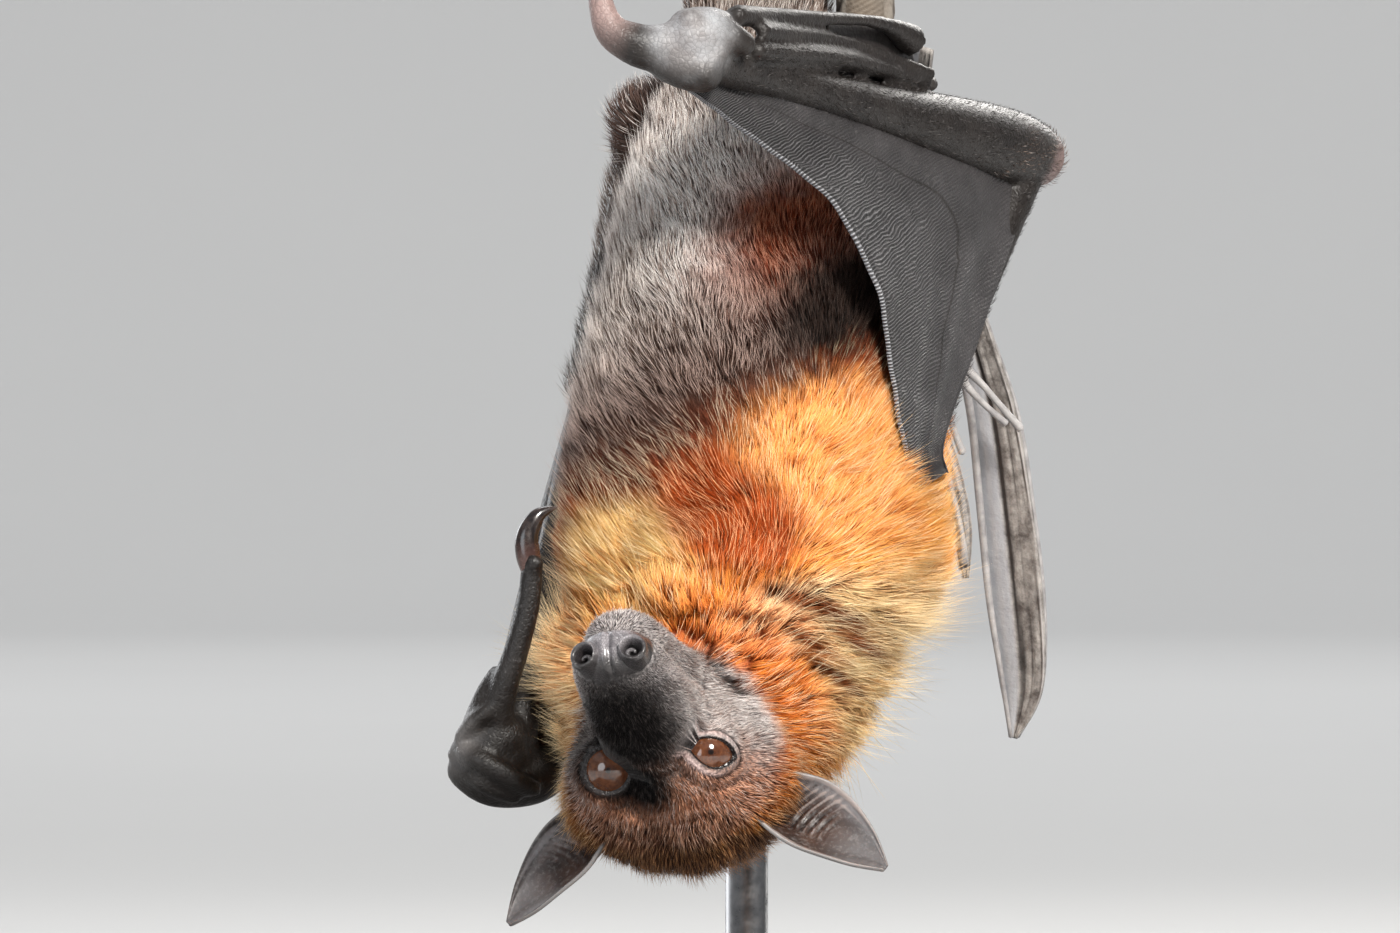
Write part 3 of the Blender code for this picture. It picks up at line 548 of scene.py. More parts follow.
def joined(bodies):
    """Several bmeshes as one, freed as they are copied."""
    whole = bmesh.new()
    for body in bodies:
        mesh = bpy.data.meshes.new("body")
        body.to_mesh(mesh)
        body.free()
        whole.from_mesh(mesh)
        bpy.data.meshes.remove(mesh)
    return whole


def with_modifiers(bm, *steps):
    """The mesh after modifiers, each given as its kind and its settings."""
    mesh = bpy.data.meshes.new("work")
    bm.to_mesh(mesh)
    bm.free()
    work = bpy.data.objects.new("work", mesh)
    bpy.context.scene.collection.objects.link(work)
    for kind, settings in steps:
        modifier = work.modifiers.new(kind, kind)
        for setting, value in settings.items():
            setattr(modifier, setting, value)
    graph = bpy.context.evaluated_depsgraph_get()
    result = bmesh.new()
    result.from_object(work, graph)
    bpy.data.objects.remove(work)
    bpy.data.meshes.remove(mesh)
    return result


skin = with_modifiers(
    joined(SKIN_BODIES),
    ("REMESH", {"mode": "VOXEL", "voxel_size": SKIN_VOXEL}),
    ("SMOOTH", {"factor": 0.5, "iterations": 3}),
)

# ---------------------------------------------------------------- the face: lids, mouth and nose
# The skin round the eyes, nose and mouth is split finer, then shaped: sunk sockets with puffy
# lids and creases, a lip line between the muzzle and the jaw, a grooved nose pad and two pits.

EYE_RADIUS = 6.0
LID_RADIUS = 6.9
NOSTRIL = (4.9, 34.0, -10.8)
NOSTRIL_WAY = (2.1, 9.0, -0.6)
NOSE_PAD = (2.5, 35.5, -12.0)
LIP_LINE = [(0, 34.5, -16.2), (5, 33, -17.3), (9.3, 30, -17.6), (10.4, 27.5, -16.5)]


def line_distance(places, line):
    """Distance of each place from a line of points."""
    nearest = np.full(len(places), 1e9)
    line = np.asarray(line, float)
    for start, end in zip(line, line[1:]):
        along = end - start
        part = np.clip((places - start) @ along / along.dot(along), 0, 1)
        gap = np.linalg.norm(places - start - part[:, None] * along, axis=1)
        nearest = np.minimum(nearest, gap)
    return nearest


# For each eye: its side, the reach of its opening to the inner and outer corner, to the crown
# and to the throat, and how pinched its corners are. The right eye is half shut against the light.
EYE_OPENINGS = {
    "right": (1, 6.3, 5.5, 4.5, 2.3, 1.7),
    "left": (-1, 5.2, 5.4, 5.3, 5.3, 1.0),
}
EYE_PLACES = {1: (10.2, -2.4, -0.3), -1: (-11.2, -1.6, 0.0)}
OPENING_WAYS = {1: (0.56, 0.78, 0.12), -1: HEAD_AXES @ (-0.10, -1.0, 0.0)}


def eye_frame(side):
    """The middle of an eyeball, and its axes: out of the opening, to the outer corner, to the crown."""
    middle = np.array(EYE_PLACES[side])
    gaze = unit(OPENING_WAYS[side])
    outward = np.array((0.95 * side, -0.1, 0.22))
    outward = unit(outward - gaze * outward.dot(gaze))
    crown = np.cross(gaze, outward) * side
    return middle, gaze, outward, crown if crown[2] > 0 else -crown


def lid_distance(places, side, inner, outer, above, below, pinch):
    """How far each place on the head lies outside an eye's opening, in millimetres."""
    middle, gaze, outward, crown = eye_frame(side)
    away = unit(places - middle)
    in_front = (away @ gaze > 0.05) & (np.linalg.norm(places - middle, axis=1) < 14)
    flat = np.column_stack((away[in_front] @ outward, away[in_front] @ crown)) * LID_RADIUS
    turn = np.linspace(0, math.tau, 49)
    rim = np.sin(turn) * abs(np.sin(turn)) ** (pinch - 1)
    outline = np.column_stack(
        (np.where(np.cos(turn) > 0, outer, inner) * np.cos(turn), np.where(rim > 0, above, below) * rim)
    )
    part = np.clip(abs(flat[:, 0]) / np.where(flat[:, 0] > 0, outer, inner), 0, 1)
    edge = np.where(flat[:, 1] > 0, above, below) * (1 - part**2) ** (pinch / 2)
    distance = np.full(len(places), 9.0)
    distance[in_front] = line_distance(flat, outline) * np.where(abs(flat[:, 1]) < edge, -1, 1)
    return distance


def mirrored(places):
    """Places on the head folded onto its right half."""
    return np.abs(places) * (1, 0, 0) + places * (0, 1, 1)


def ease(values, start, end):
    part = np.clip((values - start) / (end - start), 0, 1)
    return part * part * (3 - 2 * part)


def hump(values, middle, width):
    return np.exp(-(((values - middle) / width) ** 2))


def split_near(bm, chosen):
    faces = [face for face, wanted in zip(bm.faces, chosen) if wanted]
    edges = list({edge for face in faces for edge in face.edges})
    bmesh.ops.subdivide_edges(bm, edges=edges, cuts=1, use_grid_fill=True)


def face_centres(bm):
    return on_head([face.calc_center_median() for face in bm.faces])


def smooth_skin(verts, factor):
    axes = {f"use_axis_{axis}": True for axis in "xyz"}
    bmesh.ops.smooth_vert(skin, verts=verts, factor=factor, **axes)


for reach_of_split in ((1.0, 0.82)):
    centres = face_centres(skin)
    near = np.linalg.norm(mirrored(centres) - (2.5, 34, -13), axis=1) < 9.5 * reach_of_split
    for side, *opening in EYE_OPENINGS.values():
        middle, gaze, _, _ = eye_frame(side)
        gap = np.linalg.norm(centres - middle, axis=1)
        near |= (gap < 11 * reach_of_split) & ((centres - middle) @ gaze > 0)
    split_near(skin, near)
    near = line_distance(mirrored(face_centres(skin)), LIP_LINE) < 1.6
    if reach_of_split == 1.0:
        split_near(skin, near)

skin.normal_update()
skin.verts.ensure_lookup_table()
places = on_head([v.co for v in skin.verts])
normals = np.array([v.normal for v in skin.verts]) @ HEAD_AXES.T
on_face = places[:, 1] > -22
half = mirrored(places)

# Lips, philtrum and the crease beside the nostril.
lip_gap = line_distance(half, LIP_LINE)
rise = 0.35 * hump(lip_gap, 1.5, 0.7) - 0.95 * hump(lip_gap, 0, 0.5)
rise *= on_face
pad = ease(places[:, 1], 30.5, 32.5) * ease(-abs(places[:, 0]), -3.2, -2.2)
pad *= ease(places[:, 2], -17.5, -15.5) * ease(-places[:, 2], 5.5, 8.0)
rise += pad * (0.22 * hump(abs(places[:, 0]), 1.25, 0.55) - 0.55 * hump(places[:, 0], 0.1, 0.42))
side_crease = line_distance(half, [(8.2, 32.5, -8), (9.3, 31.5, -11.5), (9.2, 31.5, -14.5)])
rise -= 0.4 * hump(side_crease, 0, 0.6) * on_face
# The hollow bridge of the nose, and the furrow that runs from the eye over the temple.
furrow = line_distance(half, [(6.5, 3.2, 3.2), (9.5, -1.5, 9.0), (12.5, -8, 13.5)])
rise -= 0.7 * hump(furrow, 0, 1.1) * on_face
places = places + normals * rise[:, None]

# The nostril pits, which the tubes of the nose line.
pit_middle, pit_way = np.array(NOSTRIL), unit(NOSTRIL_WAY)
from_pit = mirrored(places) - pit_middle
across_pit = np.linalg.norm(from_pit - (from_pit @ pit_way)[:, None] * pit_way, axis=1)
depth = 6.0 * ease(-across_pit, -3.0, -2.3) * (places[:, 1] > 26)
places -= depth[:, None] * pit_way * np.where(places[:, :1] > 0, (1, 1, 1), (-1, 1, 1))

# The sockets, lids and creases.
for side, *opening in EYE_OPENINGS.values():
    middle, gaze, _, crown = eye_frame(side)
    away = places - middle
    radius = np.linalg.norm(away, axis=1)
    gap = lid_distance(places, side, *opening)
    lid = 5.1 + 1.75 * ease(gap, -0.3, 0.12)
    lid += (0.45 if side > 0 else 0.12) * hump(gap, 0.95, 0.65)
    new_radius = lid + (radius - lid) * ease(gap, 1.3, 4.6)
    new_radius -= (0.32 * hump(gap, 2.1, 0.35) + 0.22 * hump(gap, 3.3, 0.35)) * (away @ crown > -2)
    new_radius -= 0.15 * hump(gap, 4.5, 0.35)
    near = (away @ gaze > 0) & (radius < 13)
    places[near] = middle + (away / radius[:, None] * new_radius[:, None])[near]

for vert, point in zip(skin.verts, (places @ HEAD_AXES + EYES_MIDDLE) * MM):
    vert.co = point
smooth_skin([v for v, gap in zip(skin.verts, lip_gap) if gap < 3.5], 0.3)
# Behind the corner of the mouth the jaw runs into the cheek without a step.
jaw_gap = line_distance(half, [(11.5, 24, -16), (12.5, 16, -15), (15, 8, -14)])
jaw_verts = [v for v, gap in zip(skin.verts, jaw_gap) if gap < 4.5]
for _ in range(6):
    smooth_skin(jaw_verts, 0.5)


def turned_part(profile, around, middle, way, twist=None):
    """A profile of (radius, along) in millimetres turned round an axis on the head."""
    way = unit(way)
    first = unit(np.cross(way, (0, 0, 1)))
    second = np.cross(way, first)

    def place(u, v):
        radius, along = curve_through(profile, v).T
        angle = math.tau * u
        if twist is not None:
            radius = radius * twist(angle, v)
        ring = np.cos(angle)[:, None] * first + np.sin(angle)[:, None] * second
        points = np.array(middle) + radius[:, None] * ring + along[:, None] * way
        return (points @ HEAD_AXES + EYES_MIDDLE) * MM

    return closed_grid(around, 44, place)


NOSTRIL_PROFILE = [
    (0, -5.5), (3.6, -5.2), (3.75, -3), (3.45, -0.5), (3.2, 1.4), (3.05, 2.5), (2.75, 3.0),
    (2.35, 2.85), (2.05, 2.1), (1.9, 0.8), (1.75, -0.8), (1.4, -2.2), (0, -3.0),
]
# The scroll that curls into each nostril from the crown side, to the outer side and upwards.
SCROLL = [
    (2.3, 1.3), (1.5, 2.3), (0.2, 2.5), (-1.0, 1.9), (-1.2, 0.8), (-0.4, 0.2), (0.45, 0.55), (0.35, 1.15),
]
SCROLL_RADII = [0.75, 0.72, 0.68, 0.6, 0.52, 0.46, 0.4, 0.3]
nose_parts = []
for side in (1, -1):
    middle = (side * NOSTRIL[0], NOSTRIL[1], NOSTRIL[2])
    way = (side * NOSTRIL_WAY[0], NOSTRIL_WAY[1], NOSTRIL_WAY[2])

    def comma(angle, v, side=side):
        """Flattens the rim on the outer side, as the wing of the nose does."""
        return 1 - 0.10 * np.cos(angle - (0.4 if side > 0 else math.pi - 0.4)) * ease(v, 0.45, 0.6)

    nose_parts.append(turned_part(NOSTRIL_PROFILE, 40, middle, way, comma))
    outward = np.array((side, 0.0, 0.0))
    curl = [
        head_point(*(np.array(middle) + unit(way) * (2.2 - 0.10 * step) + outward * x + np.array((0, 0, y))))
        for step, (x, y) in enumerate(SCROLL)
    ]
    nose_parts.append(closed_grid(14, 56, tube_place(curl, SCROLL_RADII, 56)))

# ---------------------------------------------------------------- ears and flight membranes
# Ears, wing skins and folded fingers are thin leaves of skin over gristle and fine bones. Each
# is modelled as a closed leaf with its own folds, and grows out of the body with no gap.

WEB, RIDGE = "web", "ridge"
# The kinds of skin, in the order of their finishes.
FURRED, WING, EAR, FINGER, BONE, NOSE, LID = (float(kind) for kind in range(7))


def leaf(middle, around, along, thickness, relief=None, kind=WING):
    """A thin closed leaf in millimetres. middle(p, s) gives its mid surface for p from -1 to 1
    across and s from 0 to 1 along. relief(p, s, face) raises the upper (1) or lower (-1) face.
    WEB keeps p, the distance along in millimetres and the kind of skin, and RIDGE the relief."""

    def frame_at(p, s):
        across = middle(np.clip(p + 0.01, -1, 1), s) - middle(np.clip(p - 0.01, -1, 1), s)
        onward = middle(p, np.clip(s + 0.01, 0, 1)) - middle(p, np.clip(s - 0.01, 0, 1))
        return unit(np.cross(across, onward))

    def place(u, v):
        cosine, sine = np.cos(math.tau * u), np.sin(math.tau * u)
        p = np.sign(cosine) * abs(cosine) ** 0.85
        face = np.sign(sine)
        half = 0.5 * thickness(p, v) * abs(sine) ** 0.45 * round_off(v, 0.012)
        lift = face * half
        if relief is not None:
            lift = lift + relief(p, v, face) * round_off(v, 0.05) * abs(sine) ** 0.2
        return (middle(p, v) + lift[:, None] * frame_at(p, v)) * MM

    bm = bmesh.new()
    bmesh.ops.create_grid(bm, x_segments=around, y_segments=along, size=0.5)
    where = np.array([v.co for v in bm.verts]) + 0.5
    u, v = where[:, 0], where[:, 1]
    cosine = np.cos(math.tau * u)
    p = np.sign(cosine) * abs(cosine) ** 0.85
    length = np.linalg.norm(np.diff(middle(np.zeros(40), np.linspace(0, 1, 40)), axis=0), axis=1).sum()
    layer, heights = bm.verts.layers.float_vector.new(WEB), bm.verts.layers.float.new(RIDGE)
    ridge = relief(p, v, np.sign(np.sin(math.tau * u))) if relief is not None else 0 * v
    for vert, point, x, y, height in zip(bm.verts, place(u, v), p, v * length, ridge):
        vert.co = point
        vert[layer] = (x, y, kind)
        vert[heights] = height
    close_up(bm)
    return bm


def rows_between(rows):
    """A mid surface through rows of places, given along the leaf; p runs from the first row to the last."""
    rows = np.asarray(rows, float)

    def middle(p, s):
        lines = np.array([curve_through(row, s) for row in rows])
        place = (p + 1) / 2 * (len(rows) - 1)
        first = np.minimum(place.astype(int), len(rows) - 2)
        t = (place - first)[:, None]
        picks = np.arange(len(s))
        before = lines[np.maximum(first - 1, 0), picks]
        after = lines[np.minimum(first + 2, len(rows) - 1), picks]
        return spline(before, lines[first, picks], lines[first + 1, picks], after, t)

    return middle


def even(value):
    return lambda p, s: np.full(len(p), float(value))


# An ear: rows run from the root, sunk in the skull, to the tip.
EAR_ROOT, EAR_TIP = (21.0, -21.0, 5.5), (42.7, -26.5, 22.0)
EAR_ROWS = [  # half width, cup, lean
    (5.6, 7.6, -0.6),
    (7.4, 6.9, 0.0),
    (8.7, 4.6, 1.0),
    (7.9, 2.9, 1.4),
    (5.2, 1.4, 0.9),
    (0.7, 0.2, 0.0),
]


def ear_middle(side):
    root = head_point(side * EAR_ROOT[0], EAR_ROOT[1], EAR_ROOT[2])
    tip = head_point(side * EAR_TIP[0], EAR_TIP[1], EAR_TIP[2])
    along = unit(tip - root)
    facing = HEAD_FORWARD * 0.93 + HEAD_RIGHT * side * 0.10 - HEAD_UP * 0.25
    facing = unit(facing - along * facing.dot(along))
    across = np.cross(along, facing) * side
    step = (tip - root) / (len(EAR_ROWS) - 2)
    root = root - along * 5.2

    def middle(p, s):
        wide, cup, lean = curve_through(EAR_ROWS, s).T
        spine = curve_through([root] + [root + along * 5.2 + step * k for k in range(len(EAR_ROWS) - 1)], s)
        wide = wide * (1 - 0.03 * np.cos(9 * s))
        sideways = (p * wide - lean)[:, None] * across
        return spine + sideways + ((p * p - 0.6) * cup)[:, None] * facing

    return middle


def ear_relief(p, s, face):
    """Ribs across the hollow of the ear, a rolled rim and a fold beside it."""
    across = p + 0.12
    ring = s * 33 - 3.6 * across**2 + 1.5 * across
    ribs = np.cos(math.tau * ring / 1.75) * ease(s, 0.17, 0.24) * ease(-s, -0.62, -0.44)
    ribs *= ease(-across, -0.62, -0.40) * ease(across, -0.80, -0.66)
    height = 0.24 * ribs * (face > 0) - 0.10 * ribs * (face < 0)
    height = height + 0.30 * ease(abs(p), 0.86, 0.95) * face
    height = height + 0.22 * hump(p, -0.74, 0.05) * face * ease(s, 0.1, 0.3)
    return height + 0.10 * np.sin(11 * s + 5 * p) * (s > 0.3)


def ear_thickness(p, s):
    return 1.0 - 0.35 * s + 0.5 * ease(-s, -0.25, 0.0)


LEAVES = []
for side in (1, -1):
    LEAVES.append(leaf(ear_middle(side), 72, 118, ear_thickness, ear_relief, kind=EAR))

# The skin in front of the right arm is stretched from the wrist to the shoulder.
FREE_EDGE = [
    (-14, -67, 222), (-8.8, -62, 218.3), (3, -50, 210), (19.2, -36, 197.5),
    (29.7, -26, 178), (33, -21, 158.8), (36.5, -16, 141), (38, -12, 134),
]
arm_line = stations(RIGHT_WRIST, RIGHT_ELBOW, 0.0, 0.12, 0.38, 0.72, 1.0)
for part, *shift in ((0.45, 4.0, -5.5, 0), (0.82, 5.5, -8.0, 0), (1.0, 11.5, -12.0, 5)):
    arm_line.append(offset(between(RIGHT_ELBOW, RIGHT_SHOULDER, part), *shift))
halfway = [between(a, b, 0.5) for a, b in zip(FREE_EDGE, arm_line)]


def web_relief(p, s, face):
    """A bound edge, long soft folds that fan from the elbow, and small slack ripples."""
    fan = 0.55 * np.sin(9 * p + 5 * s) * ease(p, -0.9, 0.0) * ease(-s, -1.0, -0.6)
    slack = 0.22 * np.sin(46 * s + 3 * p) + 0.14 * np.sin(83 * s - 7 * p)
    bound = 0.55 * hump(p, -0.985, 0.02) - 0.25 * hump(p, -0.93, 0.02)
    return fan + slack * ease(-p, -0.8, 0.3) + bound * face


def web_thickness(p, s):
    return 0.8 + 2.2 * ease(p, 0.82, 1.0)


LEAVES.append(leaf(rows_between([FREE_EDGE, halfway, arm_line]), 96, 200, web_thickness, web_relief))


# Skin fills the hollows between the folded fingers and the forearm, sunk so that its finish paints
# it near black as shade.
HOLLOW_ROWS = [
    [(9, -32, 236), (22, -1, 239.5), (37, 23, 238.5)],
    [(11, -28, 230), (24, 0, 232), (39, 25, 230)],
    [(12, -28, 223), (26, 2, 221), (41, 27, 219)],
]
shaded_hollow = leaf(rows_between(HOLLOW_ROWS), 30, 60, even(1.0), lambda p, s, face: -0.6 + 0 * p, kind=FINGER)
LEAVES.append(shaded_hollow)


def hanging_pleats(inner, outer):
    """The skin between the flank and the folded fingers, in soft pleats behind the arm."""
    rows = [inner]
    for part, fold in ((0.25, 1.0), (0.5, 6.0), (0.75, 2.0)):
        rows.append([offset(between(a, b, part), 0, fold, 0) for a, b in zip(inner, outer)])
    rows.append(outer)

    def relief(p, s, face):
        pleats = 0.75 * np.sin(16 * p + 1.5 * np.sin(4 * s)) * ease(-abs(p), -1.0, -0.8)
        return pleats + 0.15 * np.sin(60 * s + 9 * p)

    LEAVES.append(leaf(rows_between(rows), 96, 90, even(0.9), relief))


hanging_pleats(
    [(34, 18, 146), (32, 22, 166), (28, 27, 187), (22, 36, 207), (14.5, 45, 228)],
    [(43, 46, 150), (43, 50, 168), (41, 56, 189), (36, 60, 209), (26, 57, 232)],
)
# The same skin of the left wing, between its forearm and the side of the chest.
arm_edge = [offset(place, 0, 2, 0) for place in stations(LEFT_ELBOW, LEFT_WRIST, 0.40, 0.62, 0.85, 1.06)]
chest_edge = [(-27, 20, 158), (-31, 14, 130), (-33, 8, 102), (-35, 3, 73)]
fold_line = [offset(between(a, b, 0.5), 0, 4, 0) for a, b in zip(arm_edge, chest_edge)]
LEAVES.append(leaf(rows_between([arm_edge, fold_line, chest_edge]), 48, 80, even(0.9)))
hanging_pleats(
    [(-20, 29, 136), (-18, 30, 152), (-16, 29, 168), (-14, 27, 184)],
    [(-34, 51, 158), (-32, 50, 168), (-28.5, 47.5, 180), (-24, 42, 192)],
)


def blade(points, radii, thin_way, thickness, relief, across=56, along=150, kind=FINGER):
    """A folded wing tip: a long flat leaf that hangs from the knuckles."""
    points = np.asarray(points, float)

    def middle(p, s):
        line = curve_through(points, s)
        size = curve_through([[radius] for radius in radii], s)[:, 0]
        behind, ahead = (curve_through(points, np.clip(s + step, 0, 1)) for step in (-0.01, 0.01))
        sideways = unit(np.cross(unit(ahead - behind), unit(thin_way)))
        return line + (p * size)[:, None] * sideways

    LEAVES.append(leaf(middle, across, along, thickness, relief, kind))


def blade_folds(p, s, face):
    """Two deep folds run the whole length, with slack skin between them."""
    folds = -0.75 * hump(p, 0.10 - 0.2 * s, 0.10) - 0.35 * hump(p, -0.45, 0.07) + 0.35 * hump(p, 0.5, 0.25)
    slack = 0.16 * np.sin(26 * s + 5 * np.sin(7 * p)) * ease(-p, 0.0, 0.3)
    return folds * ease(s, 0.1, 0.3) + slack + 0.5 * face * hump(abs(p), 0.94, 0.06)


def blade_thickness(p, s):
    return 1.5 - 0.4 * s + 0 * p


THIRD_FINGER = [
    (41, 31, 234), (40, 41, 222), (41.5, 45, 210), (46.5, 47.5, 190), (52.5, 50.5, 170),
    (57.5, 55, 152), (60.5, 60, 131), (63, 64, 109), (64.5, 68, 90), (62.8, 70, 78),
]
blade(
    THIRD_FINGER,
    [2.6, 2.8, 3.0, 3.4, 4.6, 5.6, 6.4, 6.6, 5.2, 0.8],
    (-0.35, -0.93, -0.2),
    blade_thickness,
    blade_folds,
)
blade(
    [(-31, 58, 157), (-30, 61, 140), (-28, 59, 118), (-24, 54, 95), (-20, 48, 74)],
    [4.0, 6.5, 7.4, 6.0, 1.0],
    (0.5, 0.86, 0),
    lambda p, s: 2.6 - 1.2 * s + 0 * p,
    blade_folds,
    along=110,
)
blade(
    [(41, 33.5, 156), (46, 32, 141), (49, 31, 127), (50.6, 31, 115)],
    [2.6, 3.0, 3.0, 0.8],
    (-0.2, -0.97, 0),
    even(0.9),
    lambda p, s, face: 0.35 * np.sin(9 * p) + 0.7 * face * hump(p, 0.0, 0.16),
    across=36,
    along=60,
)


def bone_rod(points, radii, along=90):
    """A slim finger bone in its skin, with small swellings at its joints and its tip."""
    bm = closed_grid(14, along, tube_place(points, radii, along))
    layer = bm.verts.layers.float_vector.new(WEB)
    for vert in bm.verts:
        vert[layer] = (0, vert.co.z / MM, BONE)
    LEAVES.append(bm)


FOURTH_FINGER = [
    (43, 26, 226), (36, 36, 220), (36, 40, 209), (41, 42, 190),
    (48, 42.5, 167), (56, 43.7, 157), (63.8, 45, 148),
]
FIFTH_FINGER = [
    (39, 19, 226), (31.5, 31, 220), (31, 34, 209), (36, 36, 190),
    (42.5, 37.5, 163), (46.4, 38.2, 152.8), (50.3, 39, 142.6),
]
for finger in (FOURTH_FINGER, FIFTH_FINGER):
    bone_rod(finger, [1.9, 1.9, 1.6, 1.2, 1.35, 0.75, 0.95])
bone_rod([(48, 38, 161.5), (54, 41.5, 155), (60.3, 43.5, 149.4)], [1.3, 0.75, 0.85], 50)
# Outer and inner bones along the edges of the right blade, each ending in a knob.
EDGE_REACH = (0.8, 1.15, 1.5, 1.7, 1.75, 1.25, 0.2)
outer_bone = [(x + 3.6 * part, y + 0.6, z) for (x, y, z), part in zip(THIRD_FINGER[3:], EDGE_REACH)]
inner_bone = [(x - 3.4 * part, y - 0.6, z) for (x, y, z), part in zip(THIRD_FINGER[3:], EDGE_REACH)]
bone_rod(outer_bone, [0.9, 0.8, 0.75, 0.7, 0.65, 0.6, 0.5], 110)
bone_rod(inner_bone, [1.1, 1.05, 0.95, 0.9, 0.8, 0.6, 0.5], 110)
bone_rod([(43.5, 31.5, 152), (47, 30, 136), (49.5, 29.4, 126), (50.4, 29.6, 118)], [0.8, 0.7, 0.65, 0.9], 60)

# ---------------------------------------------------------------- markings of the hide
# The same markings lie in the hide and in each hair: grizzled grey-brown below, a black-brown
# band, a red-brown to golden mantle with cream and rust tufts, and a grizzled dark face. Some are
# painted light and shade: pale hair where the wrist's shadow falls, the wing's shadow and its shade
# on the right flank, dark partings between locks, shade in the rust's crease, and on the face a
# shaded bridge, brow and left side and a lit right cheek.

HAIR_ENDS = ("Root", "Tip", "Guard")
HIDE_MARKINGS = bpy.data.node_groups.new("hide_markings", "ShaderNodeTree")
for name in HAIR_ENDS:
    HIDE_MARKINGS.interface.new_socket(name, in_out="OUTPUT", socket_type="NodeSocketColor")


def centred_vector(where, middle, size, turn=(0, 0, 0)):
    """Coordinates about a middle, turned and in units of size; all in millimetres and degrees."""
    mapping = where.id_data.nodes.new("ShaderNodeMapping")
    mapping.vector_type = "TEXTURE"
    mapping.inputs["Location"].default_value = [value * MM for value in middle]
    mapping.inputs["Rotation"].default_value = [math.radians(angle) for angle in turn]
    mapping.inputs["Scale"].default_value = [value * MM for value in size]
    feed(mapping.inputs["Vector"], where)
    return mapping.outputs["Vector"]


def centred(where, middle, size, turn=(0, 0, 0)):
    """Distance from a middle, in units of size: under 1 inside the zone."""
    length = where.id_data.nodes.new("ShaderNodeVectorMath")
    length.operation = "LENGTH"
    feed(length.inputs[0], centred_vector(where, middle, size, turn))
    return length.outputs["Value"]


def zone(where, ragged, middle, size, turn=(0, 0, 0), soft=0.35):
    """1 inside an ellipsoid, fading to 0 over a ragged edge."""
    reach = plus(centred(where, middle, size, turn), ragged)
    return remap(reach, 1 + soft, 1 - soft, smooth=True)


def plane_height(where, normal, through):
    """Height above a plane, in millimetres."""
    dot = where.id_data.nodes.new("ShaderNodeVectorMath")
    dot.operation = "DOT_PRODUCT"
    feed(dot.inputs[0], where)
    dot.inputs[1].default_value = [value / MM for value in normal]
    level = sum(a * b for a, b in zip(normal, through))
    return minus(dot.outputs["Value"], level)


def paint(part, hair, colours, strengths=(1, 1, 1)):
    """Lays colours over the root, tip and guard tip of the hair where part is 1."""
    painted = []
    for below, above, strength in zip(hair, colours, strengths):
        share = part if strength == 1 else times(part, strength)
        painted.append(below if above is None else blend(share, below, above))
    return painted


def turns_along(start, end):
    """The turn in degrees that lays a zone's third axis from one joint towards another."""
    way = Vector(np.subtract(end, start))
    return [math.degrees(angle) for angle in way.to_track_quat("Z", "Y").to_euler()]


where = object_coordinates(HIDE_MARKINGS)
broad = minus(noise(where, 70, 2), 0.5)
fine = minus(noise(where, 330, 2), 0.5)
ragged = plus(times(broad, 0.5), times(fine, 0.55))

# Up from the mantle to the belly, across the sloping border.
BORDER_WAY, BORDER_PLACE = (-0.40, 0.10, 0.91), (-8, -30, 151)
rise = plane_height(where, unit(BORDER_WAY), BORDER_PLACE)
rise = plus(rise, times(ragged, 16))
belly_part = remap(rise, -7, 7, smooth=True)
band = times(remap(rise, -12, 2, smooth=True), remap(rise, 34, 6, smooth=True))
russet = remap(rise, -30, -8, smooth=True)
hair = [(0.42, 0.100, 0.016), (0.95, 0.41, 0.090)]
hair = paint(russet, hair, [(0.070, 0.016, 0.006), (0.34, 0.075, 0.022)])

# Patches of the mantle, one over another: middle, size, turn and softness, then the colours of
# the roots and the tips, and how strong each is.
MANTLE_PATCHES = {
    "gold": ((20, -28, 140), (23, 26, 19), 0, 0.35, (0.72, 0.215, 0.032), (0.97, 0.43, 0.13), 1, 1),
    "pale": ((-25, -26, 120), (17, 26, 14), 0, 0.35, (0.95, 0.33, 0.06), (1.0, 0.64, 0.24), 1, 0.9),
    "shadow": ((-24, -30, 143), (25, 26, 9), -24, 0.5, (0.050, 0.013, 0.006), (0.20, 0.044, 0.016), 1, 1),
    # The rust patch is rust-red hair, darkened as painted shade in the crease between the chest mounds.
    "rust": ((-2, -32, 129), (18, 22, 12), 35, 0.35, (0.16, 0.028, 0.007), (0.42, 0.062, 0.009), 1, 0.95),
    "cream": ((10, -30, 107), (19, 22, 8), -18, 0.35, (0.40, 0.10, 0.018), (1.0, 0.76, 0.44), 1, 1),
    "ruff": ((32, -8, 96), (18, 34, 26), 0, 0.35, (0.16, 0.042, 0.010), (1.0, 0.69, 0.34), 0.8, 1),
    "left_ruff": ((-46, -16, 88), (12, 34, 30), 0, 0.35, (0.70, 0.21, 0.045), (1.0, 0.68, 0.34), 1, 1),
    "collar": (
        EYES_MIDDLE + (13, 12, 8), (25, 24, 30), 0, 0.35,
        (0.40, 0.075, 0.013), (0.88, 0.235, 0.038), 0.85, 0.85,
    ),
}
mantle_zones = {}
for name, (middle, size, turn, soft, root, tip, *strengths) in MANTLE_PATCHES.items():
    mantle_zones[name] = zone(where, ragged, middle, size, (0, turn, 0), soft)
    hair = paint(mantle_zones[name], hair, (root, tip), strengths)

# Painted shade: dark streaks lie where the partings between the locks of the ruff fall in shadow.
for middle, size, turn in (
    ((11, -30, 112), (9.0, 20, 1.7), 20),
    ((21, -28, 108), (10, 20, 2.0), 26),
    ((15, -30, 102), (8.0, 20, 1.4), 30),
    ((27, -24, 101), (8.0, 20, 1.6), 30),
    ((20, -26, 95), (9.0, 20, 1.5), 36),
):
    parting_shade = zone(where, times(ragged, 1.6), middle, size, (0, turn, 0), 0.8)
    hair = paint(parting_shade, hair, [(0.030, 0.010, 0.005), (0.26, 0.070, 0.020)])
